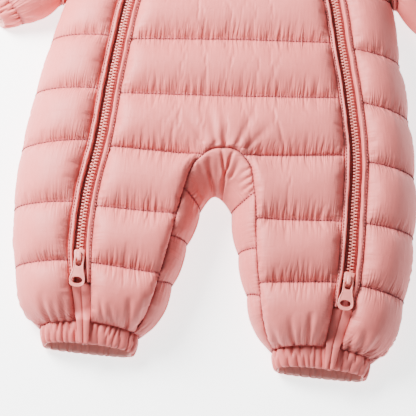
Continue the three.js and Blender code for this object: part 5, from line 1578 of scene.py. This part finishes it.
@dataclass
class Fastening:
    """One zip, with the strips of cloth beside it and the placket below."""

    finishes: Wardrobe
    side: int
    FOOT, CHAIN_FOOT, TOP = -85.4, -52.6, 344.0
    WELT_IN, WELT_HIGH, WELT_CROWN, WELT_LIFT = 5.2, 5.4, 6.6, 0.5
    STEP_IN = 0.2
    PITCH = 2.9

    @property
    def label(self) -> str:
        """The side's name."""
        return "left" if self.side < 0 else "right"

    def line(self, low: float, high: float, step: float) -> Array:
        """Heights along the zip."""
        return np.linspace(low, high, int((high - low) / step) + 1)

    def strip(self, name: str, ys: Array, offsets: Array, heights: Array) -> bpy.types.Object:
        """A closed strip along the zip.

        Args:
            name: Its name.
            ys: Stations along the zip.
            offsets: Across the section, at each station, from the zip's middle to +X.
            heights: Over the zip's ledge, for the same points.

        Returns:
            The piece.
        """
        x = SUIT.zip_x(self.side, ys)[:, None] + offsets
        z = SUIT.ledge_z(self.side, ys)[:, None] + heights
        y = np.broadcast_to(ys[:, None], x.shape)
        return grid_piece(name, np.stack([x, y, z], axis=-1))

    def welt(self, out: int) -> bpy.types.Object:
        """One folded strip of cloth beside the zip.

        Args:
            out: 1 on the side away from the suit's middle, -1 towards it.

        Returns:
            The piece.
        """
        ys = self.line(self.FOOT, self.TOP, 1.5)
        edge = SUIT.STRIP_HALF.at(ys)[:, None] - self.STEP_IN
        s = np.linspace(0, 1, 15)[None, :]
        round_in = rise(clamp(s / 0.34)) * self.WELT_CROWN
        high = np.where(s < 0.34, round_in, mix(self.WELT_CROWN, self.WELT_HIGH, (s - 0.34) / 0.66))
        wander = Noise(61 + out + 3 * self.side)
        ripple = wander.at(ys[:, None] / 7.5, s * 1.3) * 0.5 + wander.at(ys[:, None] / 3.1, s * 2 + 9) * 0.22
        groove = np.exp(-(((s - 0.8) / 0.07) ** 2)) * 0.5
        high = high + ripple * clamp(s * 4) - groove
        width = mix(self.WELT_IN, edge, s) + Noise(67 + self.side).at(ys[:, None] / 11, 3.0) * 0.25 * (1 - s)
        base = np.full((len(ys), 1), 0.0)
        offsets = np.concatenate([width[:, :1], width, width[:, -1:]], axis=1) * out * self.side
        heights = np.concatenate([base, high, base], axis=1) + self.WELT_LIFT
        if out * self.side < 0:
            offsets, heights = offsets[:, ::-1], heights[:, ::-1]
        place = "outer" if out > 0 else "inner"
        obj = self.strip(f"welt_{place}_{self.label}_fold", ys, offsets, heights)
        self.dress(obj, self.finishes.nylon, "quilted_shell", f"welt_{place}_{self.label}")
        stitch_at = mix(self.WELT_IN, edge[:, 0], 0.8) * out * self.side
        z = SUIT.ledge_z(self.side, ys) + mix(self.WELT_CROWN, self.WELT_HIGH, 0.7) + self.WELT_LIFT - 0.35
        seam = np.column_stack([SUIT.zip_x(self.side, ys) + stitch_at, ys, z])
        stitch_row(f"welt_stitches_{place}_{self.label}", seam, np.tile([0.0, 0.0, 1.0], (len(ys), 1)),
                   self.finishes)
        return obj

    def dress(self, obj: bpy.types.Object, material: bpy.types.Material, slot: str, *nodes: str) -> None:
        """Finishes a piece of the garment's body."""
        self.finishes.dress(obj, material)
        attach(obj, GARMENT)
        if nodes:
            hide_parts(*nodes)

    def tape(self) -> bpy.types.Object:
        """The woven tape under the teeth."""
        ys = self.line(self.FOOT, self.TOP, 3.0)
        half, thick, lift = 5.15, 0.8, 0.5
        across = np.array([-half, -half, -half / 2, 0, half / 2, half, half])
        high = np.array([0, thick, thick + 0.15, thick + 0.3, thick + 0.15, thick, 0]) + lift
        obj = self.strip(f"zip_tape_{self.label}_woven", ys, np.tile(across, (len(ys), 1)), np.tile(high, (len(ys), 1)))
        self.dress(obj, self.finishes.tape, "zip_tape", f"zip_tape_{self.label}")
        return obj

    def teeth(self) -> bpy.types.Object:
        """The two rows of moulded teeth, meshed."""
        ys = self.line(self.CHAIN_FOOT, self.TOP - 1, 1.0)
        line = np.column_stack([SUIT.zip_x(self.side, ys), ys, SUIT.ledge_z(self.side, ys) + 2.55])
        ups = np.tile([0.0, 0.0, 1.0], (len(ys), 1))
        seats = seated(SUIT.in_metres(line), ups, self.PITCH / 2 * MM)
        places = []
        for number, seat in enumerate(seats):
            way = 1 if number % 2 else -1
            shift = np.eye(4)
            shift[1, 3] = way * 1.15 * MM
            if way < 0:
                shift[0, 0] = shift[1, 1] = -1
            places.append(seat @ shift)
        template = bmesh.new()
        bmesh.ops.create_cube(template, size=1.0)
        bmesh.ops.scale(template, vec=(1.7 * MM, 3.3 * MM, 2.4 * MM), verts=template.verts)
        for vert in template.verts:
            if vert.co.y < 0:
                vert.co.x *= 0.62
        bmesh.ops.bevel(template, geom=list(template.edges), offset=0.32 * MM, offset_type="OFFSET", segments=1,
                        profile=0.5, affect="EDGES", material=-1)
        obj = repeated(f"zip_teeth_{self.label}", template, np.array(places))
        self.dress(obj, self.finishes.teeth, "zip_teeth", f"zip_chain_{self.label}")
        return obj

    def placket(self) -> bpy.types.Object:
        """The plain strip that runs on from the zip's foot over the casing."""
        ys = self.line(-134, -86, 0.8)
        climb = 14.0
        ledge = SUIT.ledge_z(self.side, ys)
        casing = mix(28.5, 23, (Suit.ANKLE_END - np.minimum(ys, Suit.ANKLE_END)) / 15) + 0.55
        z = np.maximum(ledge, mix(ledge, casing, ease((Suit.ANKLE_END + climb - ys) / climb)))
        half = mix(4.2, SUIT.STRIP_HALF.at(ys) - self.STEP_IN, clamp((ys + 134) / 20))[:, None]
        u = np.linspace(-1, 1, 25)[None, :]
        ripple = Noise(71 + self.side).at(ys[:, None] / 6, u * 1.5) * 0.35
        high = 3.1 + 0.7 * (1 - np.abs(np.abs(u) * 2 - 1) ** 2) - 0.9 * np.exp(-((u / 0.07) ** 2)) + ripple
        x = SUIT.zip_x(self.side, ys)[:, None] + u * half
        points = np.stack([x, np.broadcast_to(ys[:, None], x.shape), z[:, None] + 0.3 + high], axis=-1)
        obj = grid_piece(f"placket_{self.label}_fold", tucked(points, depth=2.4))
        self.dress(obj, self.finishes.casing, "quilted_shell", f"placket_{self.label}")
        return obj

    def build(self) -> None:
        """Makes everything but the slider and its pull."""
        for out in (-1, 1):
            self.welt(out)
        self.tape()
        self.teeth()
        self.placket()


def moulded(name: str, outlines: list[Array], depth: float, edge: float) -> bpy.types.Object:
    """A flat moulding with rounded edges and holes.

    Args:
        name: Its name.
        outlines: Its outline and then its holes, in millimetres.
        depth: How thick it is, in millimetres.
        edge: The rounding of its edges, in millimetres.

    Returns:
        The piece, flat about its own origin.
    """
    curve = bpy.data.curves.new(name, "CURVE")
    curve.dimensions, curve.fill_mode = "2D", "BOTH"
    curve.extrude = (depth / 2 - edge) * MM
    curve.bevel_depth = edge * MM
    curve.bevel_resolution = 2
    curve.offset = -edge * MM
    for outline in outlines:
        spline = curve.splines.new("POLY")
        spline.points.add(len(outline) - 1)
        for point, (x, y) in zip(spline.points, outline):
            point.co = (x * MM, y * MM, 0.0, 1.0)
        spline.use_cyclic_u = True
    flat = shown(name, curve)
    mesh = bpy.data.meshes.new_from_object(flat.evaluated_get(bpy.context.evaluated_depsgraph_get()))
    bpy.data.objects.remove(flat)
    bm = bmesh.new()
    bm.from_mesh(mesh)
    bmesh.ops.remove_doubles(bm, verts=bm.verts, dist=1e-6)
    bm.to_mesh(mesh)
    bm.free()
    return shown(name, mesh)


def rounded(points: list[tuple[float, float]], radius: float, steps: int = 4) -> Array:
    """A closed outline with its corners rounded.

    Args:
        points: Corners in order.
        radius: How far the rounding reaches along each side.
        steps: Points to a corner.

    Returns:
        The outline.
    """
    out = []
    corners = np.array(points, float)
    for i, here in enumerate(corners):
        before, after = corners[i - 1], corners[(i + 1) % len(corners)]
        reach_a = min(radius, np.linalg.norm(before - here) / 2)
        reach_b = min(radius, np.linalg.norm(after - here) / 2)
        a = here + (before - here) / np.linalg.norm(before - here) * reach_a
        b = here + (after - here) / np.linalg.norm(after - here) * reach_b
        for t in np.linspace(0, 1, steps):
            out.append(mix(mix(a, here, t), mix(here, b, t), t))
    return np.array(out)


def narrowed(outline: Array, by: float) -> Array:
    """A closed outline drawn in by a distance along its own normals.

    Args:
        outline: Points in order.
        by: How far, in the outline's units.

    Returns:
        The smaller outline, the other way round.
    """
    ahead = np.roll(outline, -1, axis=0) - np.roll(outline, 1, axis=0)
    ahead /= np.maximum(1e-9, np.linalg.norm(ahead, axis=1, keepdims=True))
    inward = np.column_stack([-ahead[:, 1], ahead[:, 0]])
    area = np.sum(outline[:, 0] * np.roll(outline[:, 1], -1) - np.roll(outline[:, 0], -1) * outline[:, 1])
    return (outline + inward * (by if area > 0 else -by))[::-1]


@dataclass
class Slider:
    """The slider at a zip's foot, and the pull tab that hangs on its bridge."""

    finishes: Wardrobe
    side: int
    LENGTH, WIDE, NARROW, THICK, TOP, LIFT = 13.0, 9.5, 6.6, 4.6, -53.8, 1.5
    AXIS_Y, AXIS_OVER = -61.8, 1.5
    PULL_LONG, TOP_HALF, FOOT_HALF, PULL_THICK, TILT = 26.6, 4.3, 6.7, 1.8, 4.0
    LEANS = {-1: 0.8, 1: 5.3}

    @property
    def label(self) -> str:
        """The side's name."""
        return "left" if self.side < 0 else "right"

    def hinge(self) -> Vector:
        """The pull's hinge, in metres."""
        x = float(SUIT.zip_x(self.side, self.AXIS_Y))
        z = float(SUIT.ledge_z(self.side, self.TOP)) + self.LIFT + self.THICK + self.AXIS_OVER
        return Vector(SUIT.in_metres(np.array([[x, self.AXIS_Y, z]]))[0])

    def set_down(self, obj: bpy.types.Object, *turns: Matrix) -> None:
        """Turns a moulding's mesh and moves it to the hinge."""
        matrix = Matrix.Translation(self.hinge())
        for turn in turns:
            matrix = matrix @ turn
        obj.data.transform(matrix)
        smooth(obj)
        obj.data.update()

    def build(self) -> None:
        """Makes the slider's plates, neck and bridge, and the pull."""
        pin_y = self.hinge().y
        line = np.array([[float(SUIT.zip_x(self.side, y)), y, 0.0] for y in (self.TOP, self.TOP - self.LENGTH)])
        swing = -math.atan2(line[0, 0] - line[1, 0], self.LENGTH)
        placed = SUIT.in_metres(np.array([[line[0, 0], self.TOP, 0.0]]))[0]
        top = (placed[1] - pin_y) / MM
        wide, narrow = self.WIDE / 2, self.NARROW / 2
        bottom = top - self.LENGTH
        plan = [(-narrow, bottom), (narrow, bottom), (wide, top - 5.8), (wide, top), (-wide, top),
                (-wide, top - 5.8)]
        turn = Matrix.Rotation(swing, 4, "Z")
        parts = []
        floor = -self.AXIS_OVER
        for label, outline, depth, edge, low in (
            ("crown", rounded([(x * 0.86, y + (0.6 if y < 0 else -0.6)) for x, y in plan], 2.4), 1.5, 0.5, floor - 1.5),
            ("plate", rounded(plan, 2.2), 1.7, 0.5, floor - 2.8),
            ("base", rounded(plan, 2.2), 1.6, 0.5, floor - self.THICK),
        ):
            part = moulded(f"slider_{label}_{self.label}", [outline], depth, edge)
            self.set_down(part, turn, Matrix.Translation((0, 0, (low + depth / 2) * MM)))
            parts.append(part)
        arch = rounded([(-4.8, -2.4), (-4.8, 2.8), (4.8, 2.8), (4.8, -2.4)], 2.6, 5)
        window = rounded([(-3.4, -3.4), (-3.4, 1.45), (3.4, 1.45), (3.4, -3.4)], 0.9, 3)
        bridge_line = np.vstack([arch[:len(arch)], window[::-1]])
        bridge = moulded(f"slider_bridge_{self.label}", [bridge_line], 3.4, 0.8)
        self.set_down(bridge, turn, Matrix.Rotation(math.pi / 2, 4, "Z"), Matrix.Rotation(math.pi / 2, 4, "X"))
        parts.append(bridge)
        slider = joined(f"zip_slider_{self.label}_body", parts, 1e-7)
        self.finishes.dress(slider, self.finishes.enamel)
        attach(slider, GARMENT)
        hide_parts(f"zip_slider_{self.label}")
        self.pull()

    def outline(self) -> Array:
        """The tab's teardrop outline, with its hinge at the origin and its foot towards -Y."""
        long, top, foot = self.PULL_LONG, self.TOP_HALF, self.FOOT_HALF
        control = [(top, -7.2), (top, -long * 0.5), (foot, -long * 0.6), (foot, -long * 0.78)]
        round_foot = [(foot, -long * 0.78), (foot, -long * 0.95), (foot * 0.6, -long), (0.0, -long)]
        t = np.linspace(0, 1, 12)[:, None]

        def bezier(points: list[tuple[float, float]]) -> Array:
            """Points of one cubic."""
            a, b, c, d = (np.array(point) for point in points)
            return (1 - t) ** 3 * a + 3 * (1 - t) ** 2 * t * b + 3 * (1 - t) * t**2 * c + t**3 * d

        right = np.vstack([[(top - 1.2, 1.0), (top - 0.35, 0.75), (top, -0.4)], bezier(control),
                           bezier(round_foot)[1:]])
        left = right[::-1] * (-1, 1)
        return np.vstack([right, left[1:]])

    def pull(self) -> None:
        """The pull tab."""
        slot = rounded([(-2.7, -0.9), (2.7, -0.9), (2.7, -8.4), (-2.7, -8.4)], 2.6, 6)
        a = np.linspace(0, 2 * np.pi, 33)[:-1]
        hole = np.column_stack([4.6 * np.cos(a), -20.6 + 2.9 * np.sin(a)])
        outline = self.outline()
        plate = moulded(f"pull_plate_{self.label}", [outline * 0.985, slot, hole], self.PULL_THICK - 0.4, 0.35)
        wide, slim, start = self.TOP_HALF, self.TOP_HALF - 1.15, -2.2
        band = np.vstack([[(wide, start)], outline[3:-3], [(-wide, start), (-slim, start)],
                          narrowed(outline, 1.15)[3:-3], [(slim, start)]])
        rim = moulded(f"pull_rim_{self.label}", [band], self.PULL_THICK, 0.4)
        for part in (plate, rim):
            self.set_down(part, Matrix.Rotation(math.radians(-self.LEANS[self.side]), 4, "Z"),
                          Matrix.Rotation(math.radians(self.TILT), 4, "X"))
        tab = joined(f"zip_pull_{self.label}_tab", [plate, rim], 1e-7)
        self.finishes.dress(tab, self.finishes.enamel)
        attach(tab, f"pull_{self.label}")
        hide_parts(f"zip_pull_{self.label}")


@dataclass(frozen=True)
class Camera:
    """The photograph's point of view, over the foot of the suit and nearly straight down."""

    elevation: float = 70.0
    roll: float = 4.1
    distance: float = 1.6
    look: tuple[float, float, float] = (-0.006, SHIFT_Y * MM, 0.025)
    pixel: float = 0.00087

    def build(self) -> None:
        """Makes the camera and sets it as the scene's own."""
        data = bpy.data.cameras.new("photo_view")
        data.sensor_width = 36.0
        data.lens = 36.0 * self.distance / (416 * self.pixel)
        data.clip_start, data.clip_end = 0.1, 20.0
        obj = bpy.data.objects.new("photo_view", data)
        bpy.context.scene.collection.objects.link(obj)
        tilt, roll = math.radians(self.elevation), math.radians(self.roll)
        back = Vector((0.0, -math.cos(tilt), math.sin(tilt)))
        level_up = Vector((0.0, math.sin(tilt), math.cos(tilt)))
        right = Vector((1.0, 0.0, 0.0)) * math.cos(roll) + level_up * math.sin(roll)
        up = level_up * math.cos(roll) - Vector((1.0, 0.0, 0.0)) * math.sin(roll)
        turn = Matrix((right, up, back)).transposed().to_4x4()
        obj.matrix_world = Matrix.Translation(Vector(self.look) + back * self.distance) @ turn
        bpy.context.scene.camera = obj


@dataclass(frozen=True)
class Studio:
    """A white floor and soft light from the upper left."""

    key: float = 67.0
    fill: float = 1.5

    def light(self, name: str, place: tuple[float, float, float], size: float, power: float) -> None:
        """Adds a square soft light that faces the suit."""
        data = bpy.data.lights.new(name, "AREA")
        data.size, data.energy = size, power
        obj = bpy.data.objects.new(name, data)
        bpy.context.scene.collection.objects.link(obj)
        obj.location = place
        aim = Vector((0.0, -0.1, 0.0)) - Vector(place)
        obj.rotation_euler = aim.to_track_quat("-Z", "Y").to_euler()

    def build(self) -> None:
        """Makes the floor, the lights and the even light all round."""
        bm = bmesh.new()
        bmesh.ops.create_grid(bm, x_segments=1, y_segments=1, size=3.0)
        mesh = bpy.data.meshes.new("floor")
        bm.to_mesh(mesh)
        bm.free()
        mesh.transform(Matrix.Translation((0, 0, -0.0002)))
        floor = shown("floor", mesh)
        shader = Shader("white_floor")
        floor.data.materials.append(shader.finish(
            {"Roughness": 0.9, "Specular IOR Level": 0.1, "Emission Strength": 2.8},
            {"Base Color": shader.blend(shader.noise(3.0), (0.93, 0.93, 0.93), (0.94, 0.94, 0.94))}))
        self.light("key_light", (-0.74, 0.38, 0.72), 0.56, self.key)
        self.light("fill_light", (1.1, -0.5, 1.5), 1.6, self.fill)
        world = bpy.data.worlds.new("studio")
        world.use_nodes = True
        world.node_tree.nodes["Background"].inputs["Color"].default_value = (0.87, 1.0, 1.0, 1.0)
        world.node_tree.nodes["Background"].inputs["Strength"].default_value = 0.44
        bpy.context.scene.world = world


def main() -> None:
    """Builds the snowsuit's pieces in order, then the camera and the studio."""
    logging.basicConfig(level=logging.INFO, format="%(message)s")
    Camera().build()
    finishes = Wardrobe()
    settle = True
    FrontCentre(finishes, settle).build()
    Gusset(finishes, settle).build()
    Back(finishes, settle).build()
    Collar(finishes, settle).build()
    middle = [(SUIT.SLEEVE_UNDER[i] + SUIT.SLEEVE_OVER[i]) / 2 for i in (0, 1)]
    way = SUIT.SLEEVE_DIR
    for side, name in ((-1, "left"), (1, "right")):
        SideFront(finishes, settle).build(side)
        Sleeve(finishes, settle).build(side)
        Casing(finishes, f"ankle_cuff_{name}", 43, 40.5, 15, 28.5, 24.5, 2.6, 30, 80 + side).build(
            lambda across, along, s=side: (s * Suit.ANKLE_MIDDLE + across, Suit.ANKLE_END - 0.6 - along), False)
        Casing(finishes, f"wrist_cuff_{name}", 31.5, 29, 16, 27.5, 23, 2.6, 22, 90 + side).build(
            lambda across, along, s=side: (s * (middle[0] - way[1] * across + way[0] * (along + 0.7)),
                                           middle[1] + way[0] * across + way[1] * (along + 0.7)), side < 0)
        Fastening(finishes, side).build()
        Slider(finishes, side).build()
        LOG.info("side %s done", name)
    Studio().build()


if __name__ == "__main__":
    main()
